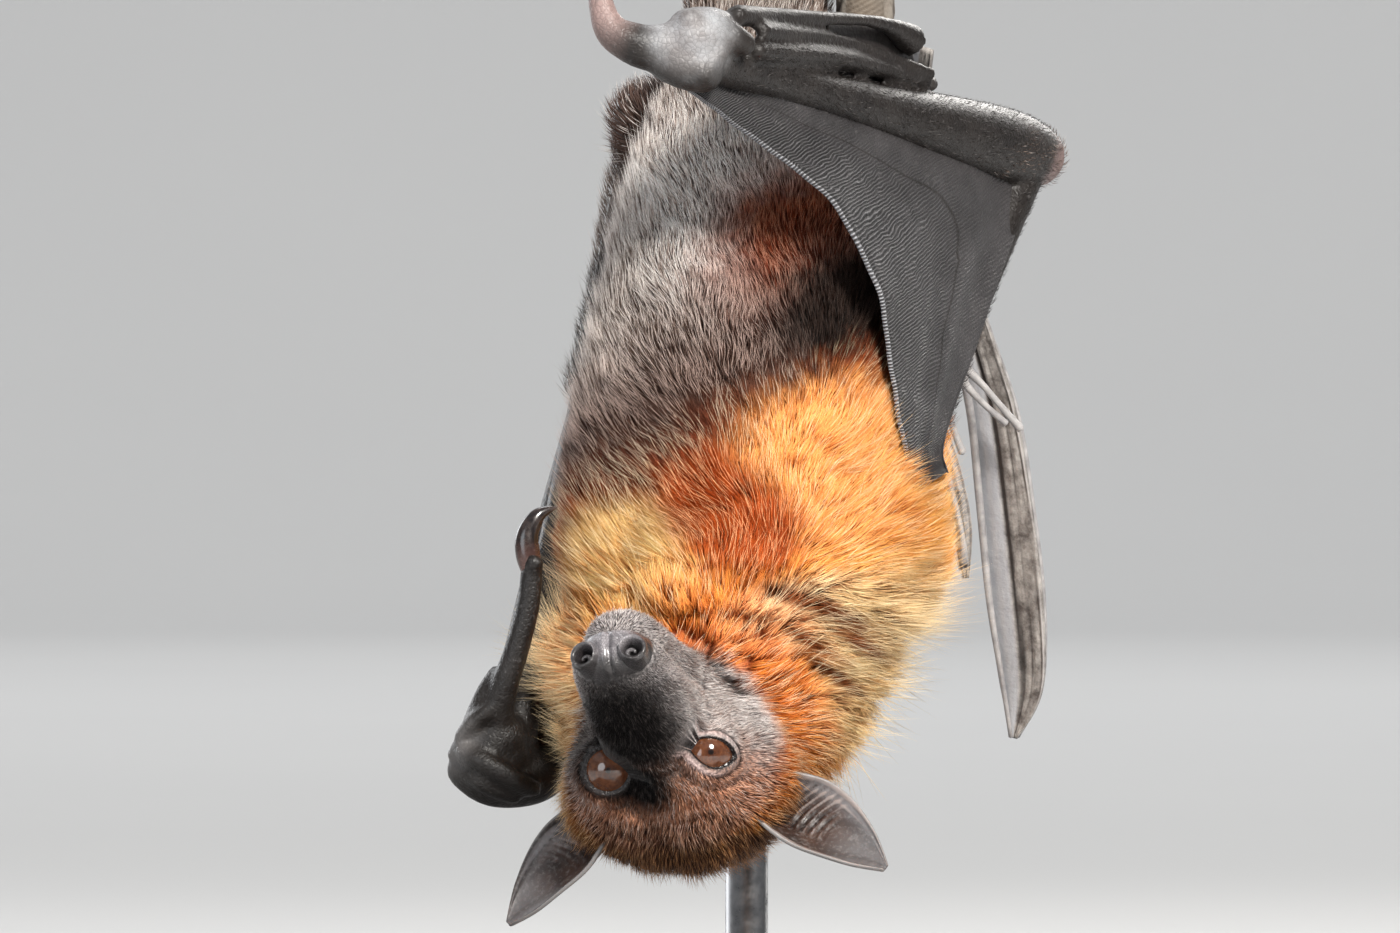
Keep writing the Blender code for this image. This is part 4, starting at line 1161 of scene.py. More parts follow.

# The belly and back are grey-brown with silver guard hairs, black-brown along the band. Painted
# light makes the hair between the legs pale against the wrist's shadow; the red-brown right flank is
# darkened as painted shade of the wing, and by the wing's edge its painted shadow is black.
belly = [
    blend(remap(fine, -0.1, 0.1), (0.040, 0.019, 0.013), (0.062, 0.034, 0.025)),
    blend(remap(broad, -0.12, 0.12), (0.165, 0.118, 0.095), (0.23, 0.172, 0.144)),
    (0.70, 0.63, 0.585),
]
# Painted light: the hair between the legs is made pale where the wrist casts its shadow.
lit_crotch = zone(where, ragged, (0, -14, 200), (26, 26, 24))
# Painted shade: the red-brown fur of the right flank is darkened by the wing's shade.
wing_shaded_flank = zone(where, ragged, (15, -24, 190), (22, 24, 19), (0, -35, 0), 0.5)
# Painted shadow of the wing: near black fur beside the wing's edge.
wing_shadow = zone(where, ragged, (27, -24, 175), (20, 24, 13), (0, -18, 0))
elbow_fur = zone(where, ragged, (-18, 32, 217), (17, 22, 13))
for part, root, tip, silver, strength in (
    (lit_crotch, None, (0.80, 0.69, 0.63), (1.0, 0.97, 0.94), 1),
    (wing_shaded_flank, (0.085, 0.018, 0.007), (0.195, 0.032, 0.009), (0.46, 0.18, 0.10), 1),
    (band, (0.020, 0.008, 0.005), (0.055, 0.022, 0.014), (0.42, 0.30, 0.255), 0.85),
    (wing_shadow, (0.005, 0.003, 0.002), (0.012, 0.006, 0.004), (0.040, 0.026, 0.021), 0.95),
    (elbow_fur, None, (0.075, 0.042, 0.034), None, 0.85),
):
    belly = paint(part, belly, (root, tip, silver), (1, strength, 1))
hair = paint(belly_part, hair, belly)
guard = blend(0.6, hair[1], (1.0, 0.84, 0.55))
guard = blend(times(mantle_zones["rust"], 0.8), guard, (0.90, 0.40, 0.17))
hair.append(blend(belly_part, guard, belly[2]))

# The short fur of the arms is dark grey-brown with silvery tips.
arm_fur = zone(where, ragged, (53, 40, 180), (15, 15, 46), turns_along(RIGHT_ELBOW, RIGHT_SHOULDER), 0.12)
forearm_fur = zone(where, ragged, (28, -1, 221), (13, 16, 90), turns_along(RIGHT_ELBOW, RIGHT_WRIST), 0.12)
left_middle, left_turns = between(LEFT_ELBOW, LEFT_WRIST, 0.62), turns_along(LEFT_ELBOW, LEFT_WRIST)
left_fur = zone(where, ragged, left_middle, (9, 9, 74), left_turns, 0.2)
dark_arms = larger(larger(arm_fur, forearm_fur), left_fur)
hair = paint(dark_arms, hair, [(0.014, 0.012, 0.011), (0.030, 0.025, 0.023), (0.22, 0.205, 0.20)])

# The face is grizzled grey and red-brown over the crown. Painted shade over dark fur makes it near
# black along the bridge and brow and darker down its left side, and painted light pales the right cheek.
HEAD_TURNS = [
    math.degrees(angle)
    for angle in Matrix((HEAD_RIGHT, HEAD_FORWARD, HEAD_UP)).transposed().to_euler()
]


def head_zone(place, size, soft, edge):
    return zone(where, edge, head_point(*place), size, HEAD_TURNS, soft)


little = times(ragged, 0.35)
chin = head_zone((0, 22, -18), (17, 19, 13), 0.10, little)
face = larger(head_zone((0, 2, -4), (26.5, 37, 25), 0.10, little), chin)
crown = head_zone((1, -17, 12), (30, 25, 17), 0.45, ragged)
muzzle = head_zone((0, 27, -15), (18, 20, 15), 0.4, ragged)
# Painted shade over dark fur: the bridge, the brow and the left side of the face are darkened.
bridge = head_zone((-2, 17, -1), (11, 20, 10), 0.45, ragged)
brow = head_zone((-4, 2, 6), (9, 8, 8), 0.5, ragged)
left_side_shade = head_zone((-15, 6, -4), (9, 15, 11), 0.5, ragged)
# Painted light: the right cheek, on the lit side of the face, is made pale.
lit_cheek = head_zone((19, 4, -9), (14, 22, 14), 0.6, ragged)
face_shade = larger(larger(bridge, brow), times(left_side_shade, 0.75))
grizzle = blend(remap(broad, -0.12, 0.12), (0.120, 0.104, 0.102), (0.24, 0.213, 0.21))
face_hair = [(0.022, 0.019, 0.019), grizzle]
for part, root, tip, strength in (
    (lit_cheek, (0.30, 0.265, 0.26), (0.97, 0.90, 0.88), 0.9),
    (crown, (0.050, 0.018, 0.010), (0.95, 0.45, 0.27), 1),
    (muzzle, None, (0.25, 0.232, 0.235), 1),
    (face_shade, (0.005, 0.004, 0.004), (0.011, 0.009, 0.009), 1),
    (chin, None, (0.68, 0.62, 0.61), 1),
):
    face_hair = paint(part, face_hair, (root, tip), (1, strength))
face_guard = blend(0.6, face_hair[1], (1.0, 0.92, 0.88))
face_hair.append(blend(face_shade, face_guard, (0.10, 0.085, 0.08)))
hair = paint(face, hair, face_hair)
crown_rim = head_zone((-2, -29, 11), (31, 20, 18), 0.3, ragged)
rim_colours = [(0.030, 0.012, 0.007), (0.070, 0.026, 0.012), (0.62, 0.30, 0.13)]
hair = paint(crown_rim, hair, rim_colours, (1, 0.9, 1))

ends = HIDE_MARKINGS.nodes.new("NodeGroupOutput")
for name, colour in zip(HAIR_ENDS, hair):
    feed(ends.inputs[name], colour)


def markings(tree):
    """The colours of a hair's root, of its tip, and of the long guard hairs there."""
    group = tree.nodes.new("ShaderNodeGroup")
    group.node_tree = HIDE_MARKINGS
    return [group.outputs[name] for name in HAIR_ENDS]


def attribute(tree, name, output="Fac"):
    node = tree.nodes.new("ShaderNodeAttribute")
    node.attribute_name = name
    return node.outputs[output]


# The bare skins. Wing leather is dark, finely ribbed and a little silvery where it's stretched;
# its rib grooves are painted darker as shade and its rib crests paler as highlight.
def skin_parts(tree):
    """Object coordinates, distance across and along a leaf in millimetres, and its relief."""
    split = tree.nodes.new("ShaderNodeSeparateXYZ")
    feed(split.inputs[0], attribute(tree, WEB, "Vector"))
    return object_coordinates(tree), split.outputs[0], split.outputs[1], attribute(tree, RIDGE)


def creases(where, scale):
    """The lozenges of creased skin: 0 in the creases, 1 on the pads between."""
    cells = where.id_data.nodes.new("ShaderNodeTexVoronoi")
    cells.feature = "DISTANCE_TO_EDGE"
    feed(cells.inputs["Scale"], scale)
    feed(cells.inputs["Vector"], where)
    return remap(cells.outputs["Distance"], 0.0, 0.25)


def wave(value, spacing):
    """Even ribs across a distance: -1 in the grooves and 1 on the ribs."""
    return calculate("SINE", times(value, math.tau / spacing))


wing_leather, tree, shader = new_material("wing_leather", 0.5, {"Specular IOR Level": 0.4})
where, across, along, ridge = skin_parts(tree)
patches = noise(where, 90, 4)
grain = noise(where, 1100, 4)
wander = times(noise(where, 150, 3), 2.2)
ribs = wave(plus(along, wander), 0.95)
near_edge = remap(across, 0.4, -0.75, 0.22, 1.0, smooth=True)
on_web = remap(calculate("ABSOLUTE", across), 0.0, 0.02)
ribs = times(ribs, times(near_edge, on_web))
ribs = times(ribs, remap(noise(where, 420, 2), 0.3, 0.5, 0.4, 1.0))
cells = creases(where, 900)
slight = times(patches, 0.4)
wrist_highlight = zone(where, slight, (-11, -66, 231), (11, 13, 10))
rosy = zone(where, slight, (-29, -67, 241), (9, 9, 16))
elbow_tip = zone(where, slight, (71, 66, 208), (7, 9, 7))
shaded_left_hand = zone(where, slight, (-52, -8, 76), (18, 16, 18))
knuckle = zone(where, slight, (-61.5, -10, 80), (6, 9, 9), (0, 25, 0))
web = blend(remap(patches, 0.3, 0.7), (0.026, 0.024, 0.025), (0.060, 0.056, 0.058))
limb = blend(remap(patches, 0.3, 0.7), (0.007, 0.005, 0.0045), (0.021, 0.017, 0.015))
pale = blend(remap(patches, 0.35, 0.6), (0.44, 0.45, 0.47), (0.22, 0.205, 0.205))
colour = blend(on_web, limb, web)
# Painted highlight: the knob of the right wrist is made pale grey.
colour = blend(times(wrist_highlight, 0.9), colour, pale)
colour = blend(times(rosy, 0.75), colour, (0.36, 0.25, 0.23))
colour = blend(times(elbow_tip, 0.7), colour, (0.34, 0.23, 0.215))
# Painted shade in the rib grooves and painted highlight on the rib crests.
colour = blend(remap(ribs, -0.1, -0.8, 0.0, 0.85), colour, (0.010, 0.009, 0.009))
colour = blend(remap(ribs, 0.2, 0.9, 0.0, 0.55), colour, (0.24, 0.235, 0.245))
comb = times(remap(across, -0.945, -0.985), remap(ribs, -0.5, 0.5, 0.15, 0.9))
colour = blend(comb, colour, (0.42, 0.425, 0.45))
colour = blend(remap(cells, 0.0, 0.3, 0.30, 0.0), colour, (0.014, 0.012, 0.012))
colour = blend(remap(grain, 0.60, 0.8, 0.0, 0.45), colour, (0.20, 0.19, 0.19))
# Painted shade of the body darkens the left hand over its black skin.
colour = blend(times(shaded_left_hand, 0.75), colour, (0.008, 0.006, 0.005))
colour = blend(times(knuckle, 0.7), colour, (0.150, 0.140, 0.137))
height = plus(times(ribs, 1.6), times(cells, 0.25))
height = plus(height, times(grain, 0.6))
dress(shader, colour, remap(grain, 0.3, 0.7, 0.38, 0.56), bump(height, 0.00026, 0.85))

# Folded finger skins are dry and mottled, with a smooth bluish band along the inner side. Their
# raised folds are painted pale as highlight, and their deep folds near black as shade.
finger_leather, tree, shader = new_material("finger_leather", 0.5)
where, across, along, ridge = skin_parts(tree)
mottle = noise(where, 230, 5, 0.7)
grain = noise(where, 1000, 4)
streaks = noise(centred_vector(where, (0, 0, 0), (1000, 1000, 7000)), 480, 3)
colour = blend(remap(mottle, 0.36, 0.66), (0.100, 0.085, 0.078), (0.44, 0.41, 0.385))
blue_band = blend(streaks, (0.26, 0.265, 0.29), (0.46, 0.465, 0.49))
colour = blend(remap(across, 0.02, 0.22, 0.0, 0.9, smooth=True), colour, blue_band)
colour = blend(remap(streaks, 0.55, 0.75, 0.0, 0.4), colour, (0.10, 0.09, 0.088))
# Painted highlight on the raised folds and painted shade in the deep folds.
colour = blend(remap(ridge, 0.25, 0.6, 0.0, 0.75), colour, (0.46, 0.43, 0.42))
colour = blend(remap(ridge, -0.15, -0.5, 0.0, 0.95), colour, (0.014, 0.011, 0.011))
height = plus(times(mottle, 1.2), times(grain, 0.6))
dress(shader, colour, remap(mottle, 0.3, 0.7, 0.50, 0.34), bump(height, 0.0003, 0.8))

# Finger bones are pale pinkish grey under a thin smooth skin.
bone_skin, tree, shader = new_material("bone_skin", 0.42)
where, across, along, ridge = skin_parts(tree)
mottle = noise(where, 260, 4)
colour = blend(remap(mottle, 0.35, 0.65), (0.24, 0.23, 0.235), (0.44, 0.42, 0.415))
knuckles = zone(where, times(mottle, 0.3), (42, 28, 228), (14, 16, 16))
colour = blend(knuckles, colour, (0.030, 0.025, 0.024))
dress(shader, colour, normal=bump(noise(where, 1200, 3), 0.00012, 0.7))

# Ears are thin and ribbed: brown, paler towards the tip and the rim, with painted shade between
# the ribs and a painted highlight on them.
GLOW_THROUGH = {
    "Subsurface Weight": 0.12, "Subsurface Radius": (0.004, 0.0016, 0.001), "Subsurface Scale": 0.5,
}
ear_leather, tree, shader = new_material("ear_leather", 0.46, GLOW_THROUGH)
where, across, along, ridge = skin_parts(tree)
mottle = noise(where, 240, 4)
grain = noise(where, 1100, 3)
edge = remap(across, -0.45, -0.95, smooth=True)
far = remap(along, 17, 27, smooth=True)
colour = blend(remap(mottle, 0.35, 0.65), (0.022, 0.010, 0.007), (0.058, 0.030, 0.021))
colour = blend(times(edge, 0.8), colour, (0.19, 0.178, 0.182))
colour = blend(times(far, 0.85), colour, (0.120, 0.111, 0.113))
# Painted shade between the ribs and painted highlight on them.
colour = blend(remap(ridge, -0.03, -0.20, 0.0, 0.9), colour, (0.018, 0.010, 0.008))
colour = blend(remap(ridge, 0.10, 0.30, 0.0, 0.75), colour, (0.31, 0.255, 0.235))
rim = remap(calculate("ABSOLUTE", across), 0.965, 0.99)
colour = blend(times(rim, 0.8), colour, (0.26, 0.245, 0.24))
colour = blend(remap(grain, 0.5, 0.75, 0.0, 0.35), colour, (0.28, 0.265, 0.26))
dress(shader, colour, remap(mottle, 0.3, 0.7, 0.34, 0.5), bump(grain, 0.00016, 0.7))

# The nose pad and the lids are black, wet and finely pebbled; a painted highlight lies pale
# over the top of the nose pad.
nose_leather, tree, shader = new_material("nose_leather", 0.3, {"Coat Weight": 0.8, "Coat Roughness": 0.2})
where = object_coordinates(tree)
pebbles = creases(where, 1500)
mottle = noise(where, 420, 3)
crest_highlight = zone(where, times(mottle, 0.4), head_point(1, 36.5, -14.5), (7.5, 5.5, 6.0), HEAD_TURNS)
colour = blend(remap(mottle, 0.35, 0.65), (0.013, 0.011, 0.011), (0.036, 0.031, 0.032))
light = blend(remap(mottle, 0.35, 0.65), (0.15, 0.137, 0.148), (0.42, 0.39, 0.41))
# Painted highlight: the top of the nose pad is made pale.
colour = blend(times(crest_highlight, 0.8), colour, light)
colour = blend(remap(pebbles, 0.0, 0.5, 0.6, 0.0), colour, (0.014, 0.012, 0.013))
dress(shader, colour, remap(pebbles, 0.0, 0.8, 0.5, 0.3), bump(pebbles, 0.0001, 0.8))

# The furred hide is seen only between the hairs, and carries their colours.
furred_hide, tree, shader = new_material("furred_hide", 0.75)
where = object_coordinates(tree)
root, tip, _ = markings(tree)
fuzz = noise(where, 1500, 3)
colour = blend(remap(fuzz, 0.4, 0.75, 0.05, 0.6), root, tip)
dress(shader, colour, normal=bump(fuzz, 0.0004, 0.9))

# Lids fade from black skin at their rims into the short fur round them.
lid_skin, tree, shader = new_material("lid_skin", 0.45)
where = object_coordinates(tree)
root, tip, _ = markings(tree)
rim = attribute(tree, RIDGE)
fuzz = noise(where, 1500, 3)
colour = blend(remap(fuzz, 0.40, 0.75, 0.0, 0.5), root, tip)
pink = blend(remap(fuzz, 0.3, 0.7), (0.20, 0.125, 0.115), (0.68, 0.52, 0.49))
colour = blend(remap(rim, 0.1, 0.9, 0.0, 0.85, smooth=True), colour, pink)
colour = blend(remap(rim, -0.2, -0.8), colour, (0.009, 0.006, 0.006))
dress(shader, colour, remap(rim, -0.2, -1.2, 0.55, 0.22), bump(creases(where, 1300), 0.00014, 0.7))

# The parts of the skin become one piece, and each face takes the finish of its kind of skin.
places = np.array([v.co for v in skin.verts])
head_places = on_head(places)
BARE_LIMBS = [
    (stations(RIGHT_ELBOW, RIGHT_WRIST, -0.02, 0.5, 1.02), 8.6),
    (stations(RIGHT_ELBOW, RIGHT_SHOULDER, 0, 0.80), 8.5),
    ([RIGHT_WRIST, (3, -57, 231), (22, -16, 232), RIGHT_KNUCKLES], 11.0),
    (RIGHT_THUMB, 6.0),
    (stations(LEFT_ELBOW, LEFT_WRIST, 0.50, 0.75, 1.0), 7.0),
    ([LEFT_WRIST, (-51, -2, 71), (-63, -6, 74)], 12.5),
    ([(-63, -6, 75), (-54, -10, 92)], 7.5),
    ([(-61, -13, 78), (-55, -15, 75), (-46, -12, 69)], 6.5),
    ([(-62, -12, 78), (-52, -15, 89)], 5.0),
    (LEFT_THUMB, 6.4),
    (LEFT_BUNDLE, 6.0),
]
for side, _, _, ankle, foot_y in LEGS:
    toes = [round_perch(side, foot_y, degrees, 2.0) for degrees in (0, 60, 120)]
    BARE_LIMBS.append(([ankle, round_perch(side, foot_y, -38, 4.6), toes[1]], 10.0))
    BARE_LIMBS.append((toes, 9.5))


def bareness(points):
    """1 on the naked limbs, falling to 0 over a few millimetres; points are in metres."""
    nearest = np.full(len(points), 9.0)
    for line, reach in BARE_LIMBS:
        nearest = np.minimum(nearest, line_distance(np.asarray(points) / MM, line) - reach)
    return ease(-nearest, -2.0, 0.5)


def eye_clearance(points_on_head):
    """Distance from the nearer eye's opening in millimetres, large away from the eyes."""
    nearest = np.full(len(points_on_head), 9.0)
    for side, *opening in EYE_OPENINGS.values():
        near = np.linalg.norm(points_on_head - eye_frame(side)[0], axis=1) < 12.5
        nearest[near] = np.minimum(nearest[near], lid_distance(points_on_head[near], side, *opening))
    return nearest


bare = bareness(places)
eye_gap = eye_clearance(head_places)
nose_gap = np.linalg.norm((mirrored(head_places) - NOSE_PAD) / (8.4, 6.0, 6.6), axis=1)
layer, heights = skin.verts.layers.float_vector.new(WEB), skin.verts.layers.float.new(RIDGE)
kinds = np.where(bare > 0.5, WING, FURRED)
kinds[eye_gap < 2.4] = LID
kinds[nose_gap < 1] = NOSE
fleshy = np.zeros(len(head_places))
for side in (1, -1):
    middle, _, outward, _ = eye_frame(side)
    towards_nose = 0.70 - 0.50 * (unit(head_places - middle) @ outward) * LID_RADIUS / 5
    own = head_places[:, 0] * side > 0
    fleshy[own] = (np.clip(towards_nose, 0.1, 0.95) * (side > 0))[own]
on_right = head_places[:, 0] > 0
black_rim = ease(-eye_gap, -np.where(on_right, 0.45 - 0.3 * fleshy, 1.3), 0.05)
lid_rim = fleshy * hump(eye_gap, 0.95, 0.8) * (1 - black_rim) - np.where(on_right, 1.5, 0.75) * black_rim
for vert, kind, rim in zip(skin.verts, kinds, lid_rim):
    vert[layer] = (0, 0, kind)
    vert[heights] = rim if kind == LID else 0.0
for part in nose_parts:
    layer = part.verts.layers.float_vector.new(WEB)
    for vert in part.verts:
        vert[layer] = (0, 0, NOSE)

SKIN_SHARE_KEPT = 0.42
SKIN_FINISHES = [furred_hide, wing_leather, ear_leather, finger_leather, bone_skin, nose_leather, lid_skin]
fur_bed = skin.copy()
membranes = joined([leaf_body.copy() for leaf_body in LEAVES])
membrane_tree = BVHTree.FromBMesh(membranes)
membranes.free()
whole_skin = joined([skin, *nose_parts, *LEAVES])
bat_skin = new_object("bat_skin", whole_skin, furred_hide)
for finish in SKIN_FINISHES[1:]:
    bat_skin.data.materials.append(finish)
skin_kinds = np.zeros(len(bat_skin.data.vertices) * 3)
bat_skin.data.attributes[WEB].data.foreach_get("vector", skin_kinds)
skin_kinds = skin_kinds.reshape(-1, 3)[:, 2]
first_corners = [polygon.vertices[0] for polygon in bat_skin.data.polygons]
bat_skin.data.polygons.foreach_set("material_index", np.rint(skin_kinds[first_corners]).astype(int))
# The joined skin is thinned where it lies smooth.
thinning = bat_skin.modifiers.new("thinning", "DECIMATE")
thinning.ratio = SKIN_SHARE_KEPT
NOT_FLESH = ("eye", "claw", "thumb_claw", "perch", "stand")
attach(bat_skin, "root")
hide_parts(*[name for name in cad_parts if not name.startswith(NOT_FLESH)])

# ---------------------------------------------------------------- eyes
# Each eye is a glass ball in its socket: an even orange-brown iris round a small pupil, with a
# dark ring and a wet, slightly domed cornea.

OFF_AXIS = "off_axis"
LOOK_WAY, LOOK_SHARE = (0.0, -1.0, 0.0), 1.1
eye_glass, tree, shader = new_material(
    "eye_glass", 0.12, {"Coat Weight": 1.0, "Coat Roughness": 0.02, "IOR": 1.45}
)
where = object_coordinates(tree)
degrees = attribute(tree, OFF_AXIS)
flecks = noise(where, 900, 4)
colour = blend(remap(flecks, 0.35, 0.65), (0.070, 0.022, 0.009), (0.140, 0.048, 0.018))
colour = blend(remap(degrees, 8, 20, 0.6, 0.0), colour, (0.045, 0.012, 0.005))
colour = blend(remap(degrees, 52, 66), colour, (0.022, 0.008, 0.005))
colour = blend(remap(degrees, 7.0, 4.0), colour, (0.004, 0.002, 0.002))
dress(shader, colour, normal=bump(flecks, 0.00008, 0.3))

for side, name in ((1, "right"), (-1, "left")):
    middle, opening_way, outward, crown = eye_frame(side)
    gaze = unit(opening_way + LOOK_SHARE * unit(HEAD_AXES @ LOOK_WAY))
    outward = unit(outward - gaze * outward.dot(gaze))
    crown = np.cross(gaze, outward)

    def eyeball(u, v):
        angle = math.pi * v
        dome = EYE_RADIUS + 0.22 * ease(-angle, -0.75, -0.35)
        ring = np.cos(math.tau * u)[:, None] * outward + np.sin(math.tau * u)[:, None] * crown
        way = np.cos(angle)[:, None] * gaze + np.sin(angle)[:, None] * ring
        return ((middle + dome[:, None] * way) @ HEAD_AXES + EYES_MIDDLE) * MM

    ball = closed_grid(64, 60, eyeball)
    away = unit(on_head([v.co for v in ball.verts]) - middle)
    layer = ball.verts.layers.float.new(OFF_AXIS)
    for vert, cosine in zip(ball.verts, away @ gaze):
        vert[layer] = math.degrees(math.acos(max(-1, min(1, cosine))))
    eye = new_object(f"eyeball_{name}", ball, eye_glass)
    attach(eye, "root")
    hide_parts(f"eye_{name}")

# ---------------------------------------------------------------- claws
# Claws are curved horn that grows out of a soft cuticle: black-brown and glossy, red-brown
# towards the base and paler at the tip, with a fine grain.

ALONG = "along"
horn, tree, shader = new_material("horn", 0.26, {"Coat Weight": 0.35})
where = object_coordinates(tree)
along = attribute(tree, ALONG)
grain = noise(where, 700, 4)
colour = blend(remap(grain, 0.4, 0.7), (0.010, 0.007, 0.007), (0.034, 0.022, 0.019))
colour = blend(remap(along, 0.45, 0.05, 0.0, 0.55), colour, (0.13, 0.045, 0.030))
colour = blend(remap(along, 0.86, 1.0, 0.0, 0.5), colour, (0.17, 0.12, 0.10))
dress(shader, colour, remap(grain, 0.3, 0.7, 0.18, 0.32), bump(grain, 0.00006, 0.5))


def claw_body(points, radii, flat_way, along=48):
    """One hooked claw, a little deeper than it is wide."""
    bm = closed_grid(20, along, tube_place(points, radii, along, flat=0.8, flat_way=flat_way, share=0.04))
    layer = bm.verts.layers.float.new(ALONG)
    line = curve_through(points, np.linspace(0, 1, 60))
    for vert in bm.verts:
        gaps = np.linalg.norm(line - np.array(vert.co) / MM, axis=1)
        vert[layer] = gaps.argmin() / 59
    return bm


def claw_piece(name, bodies, *nodes):
    piece = new_object(name, joined(bodies), horn)
    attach(piece, "root")
    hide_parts(*nodes)


LEFT_HOOK = [
    (-45.2, -17, 116.6), (-46.3, -17, 120.8), (-46.4, -16.9, 125.2),
    (-44.0, -16.5, 129.4), (-39.8, -15.5, 131.2),
]
RIGHT_HOOK = [(-30, -65.9, 249), (-30.1, -65.4, 254), (-29.2, -64.3, 258), (-25.8, -63, 260.8)]
for name, hook, radii in (
    ("left", LEFT_HOOK, [2.3, 2.7, 2.4, 1.6, 0.15]),
    ("right", RIGHT_HOOK, [2.1, 2.3, 1.6, 0.12]),
):
    claw_piece(f"thumb_hook_{name}", [claw_body(hook, radii, (0, 1, 0))], f"thumb_claw_{name}")
for side, name, foot_y in ((1, "right", 10), (-1, "left", 31)):
    bodies = []
    for toe in range(TOES):
        steps = ((112, 1.5), (128, 2.1), (146, 1.9), (160, 1.3), (169, 0.6))
        hook = [toe_place(side, foot_y, toe, degrees, clear) for degrees, clear in steps]
        bodies.append(claw_body(hook, [1.2, 1.25, 0.95, 0.6, 0.12], perch_way, 36))
    claw_piece(f"toe_claws_{name}", bodies, *[f"claw_{toe + 1}_foot_{name}" for toe in range(TOES)])

# ---------------------------------------------------------------- perch
# The perch is a cut length of grey branch with a sawn side branch. Its bark is furrowed along
# the grain and cracked into plates.

middle = between(PERCH_BACK, PERCH_FRONT, 0.5)
branch = stations(PERCH_BACK, PERCH_FRONT, 0, 0.25, 0.5, 0.75, 1)
branch[2] = offset(middle, 0.3, 0, 0)
TWIG = [(4, 54, 286), (19, 47, 280), (27.5, 36, 264), (28.3, 28.5, 250), (27.8, 27, 237.5)]
wood = [
    closed_grid(40, 120, tube_place(branch, [8.3, 7.85, 7.7, 7.85, 7.6], 120, share=0.006)),
    closed_grid(36, 80, tube_place(TWIG, [6.6, 7.4, 6.85, 6.85, 7.2], 80, share=0.012)),
]
perch = with_modifiers(
    joined(wood),
    ("REMESH", {"mode": "VOXEL", "voxel_size": 0.6 * MM}),
    ("SMOOTH", {"factor": 0.5, "iterations": 2}),
)
perch.normal_update()
places = np.array([v.co for v in perch.verts]) / MM
normals = np.array([v.normal for v in perch.verts])
twig_line = np.array(TWIG, float)
on_twig = line_distance(places, TWIG) < line_distance(places, [PERCH_BACK, PERCH_FRONT])
grain_way = np.where(on_twig[:, None], unit(twig_line[-1] - twig_line[1]), perch_way)
along_grain = (places * grain_way).sum(axis=1)
angle_round = np.where(
    on_twig,
    np.arctan2(places[:, 1] - 36, places[:, 0] - 27),
    np.arctan2((places - np.array(middle)) @ perch_up, places[:, 0] - 2),
)
furrow_wave = np.sin(9 * angle_round + 1.3 * np.sin(along_grain / 6.5) + 0.6 * np.sin(along_grain / 2.3))
plates = np.sin(along_grain / 2.9 + 2.2 * np.sin(3 * angle_round) + np.sin(along_grain / 11))
knots = hump(np.linalg.norm(places - (9, -8, 300), axis=1), 0, 5)
knots = knots + hump(np.linalg.norm(places - (-5, 80, 280), axis=1), 0, 6)
fibres = np.sin(23 * angle_round + along_grain / 1.6)
rise = 0.30 * furrow_wave - 0.34 * hump(plates, -1, 0.28) + 0.12 * fibres + 0.5 * knots
sawn = abs(normals @ perch_way) > 0.8
sawn |= (abs(normals @ unit(twig_line[-1] - twig_line[-2])) > 0.8) & on_twig & (places[:, 2] < 240)
rise[sawn] = 0
bark_layer, sawn_layer = perch.verts.layers.float.new(RIDGE), perch.verts.layers.float.new("sawn")
for vert, height, cut, normal in zip(perch.verts, rise, sawn, normals):
    vert.co = vert.co + Vector(normal) * float(height - 0.25 * (not cut)) * MM
    vert[bark_layer] = height
    vert[sawn_layer] = float(cut)

bark, tree, shader = new_material("bark", 0.8)
where = object_coordinates(tree)
mottle = noise(where, 85, 5)
grain = noise(where, 900, 4)
crust = noise(where, 300, 4)
ridge = attribute(tree, RIDGE)
colour = blend(remap(mottle, 0.35, 0.65), (0.105, 0.082, 0.064), (0.215, 0.185, 0.155))
colour = blend(remap(crust, 0.5, 0.72, 0.0, 0.7), colour, (0.33, 0.305, 0.265))
colour = blend(remap(ridge, 0.0, -0.45, 0.0, 0.85), colour, (0.035, 0.025, 0.018))
colour = blend(remap(ridge, 0.15, 0.45, 0.0, 0.5), colour, (0.36, 0.33, 0.29))
rings = wave(centred(where, (2, 37, 289), (1, 1000, 1)), 1.1)
fresh = blend(remap(rings, -1, 1, 0.15, 0.85), (0.125, 0.092, 0.066), (0.235, 0.190, 0.145))
fresh = blend(remap(mottle, 0.4, 0.65, 0.0, 0.7), fresh, (0.105, 0.092, 0.080))
colour = blend(attribute(tree, "sawn"), colour, fresh)
height = plus(grain, times(crust, 1.2))
dress(shader, colour, normal=bump(height, 0.0005, 0.8))
perch_piece = new_object("perch_branch", perch, bark)
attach(perch_piece, "root")
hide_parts("perch")

# ---------------------------------------------------------------- display stand
# A square wooden plinth with a stepped edge, painted satin charcoal, holds a turned steel rod
# in a collar. The rod is screwed up into the back end of the perch.

stand_paint, tree, shader = new_material("stand_paint", 0.42)
where = object_coordinates(tree)
orange_peel = noise(where, 650, 3)
dust = noise(where, 22, 5)
colour = blend(remap(dust, 0.35, 0.7), (0.060, 0.060, 0.062), (0.092, 0.091, 0.090))
dress(shader, colour, remap(dust, 0.3, 0.7, 0.36, 0.50), bump(orange_peel, 0.0002, 0.35))

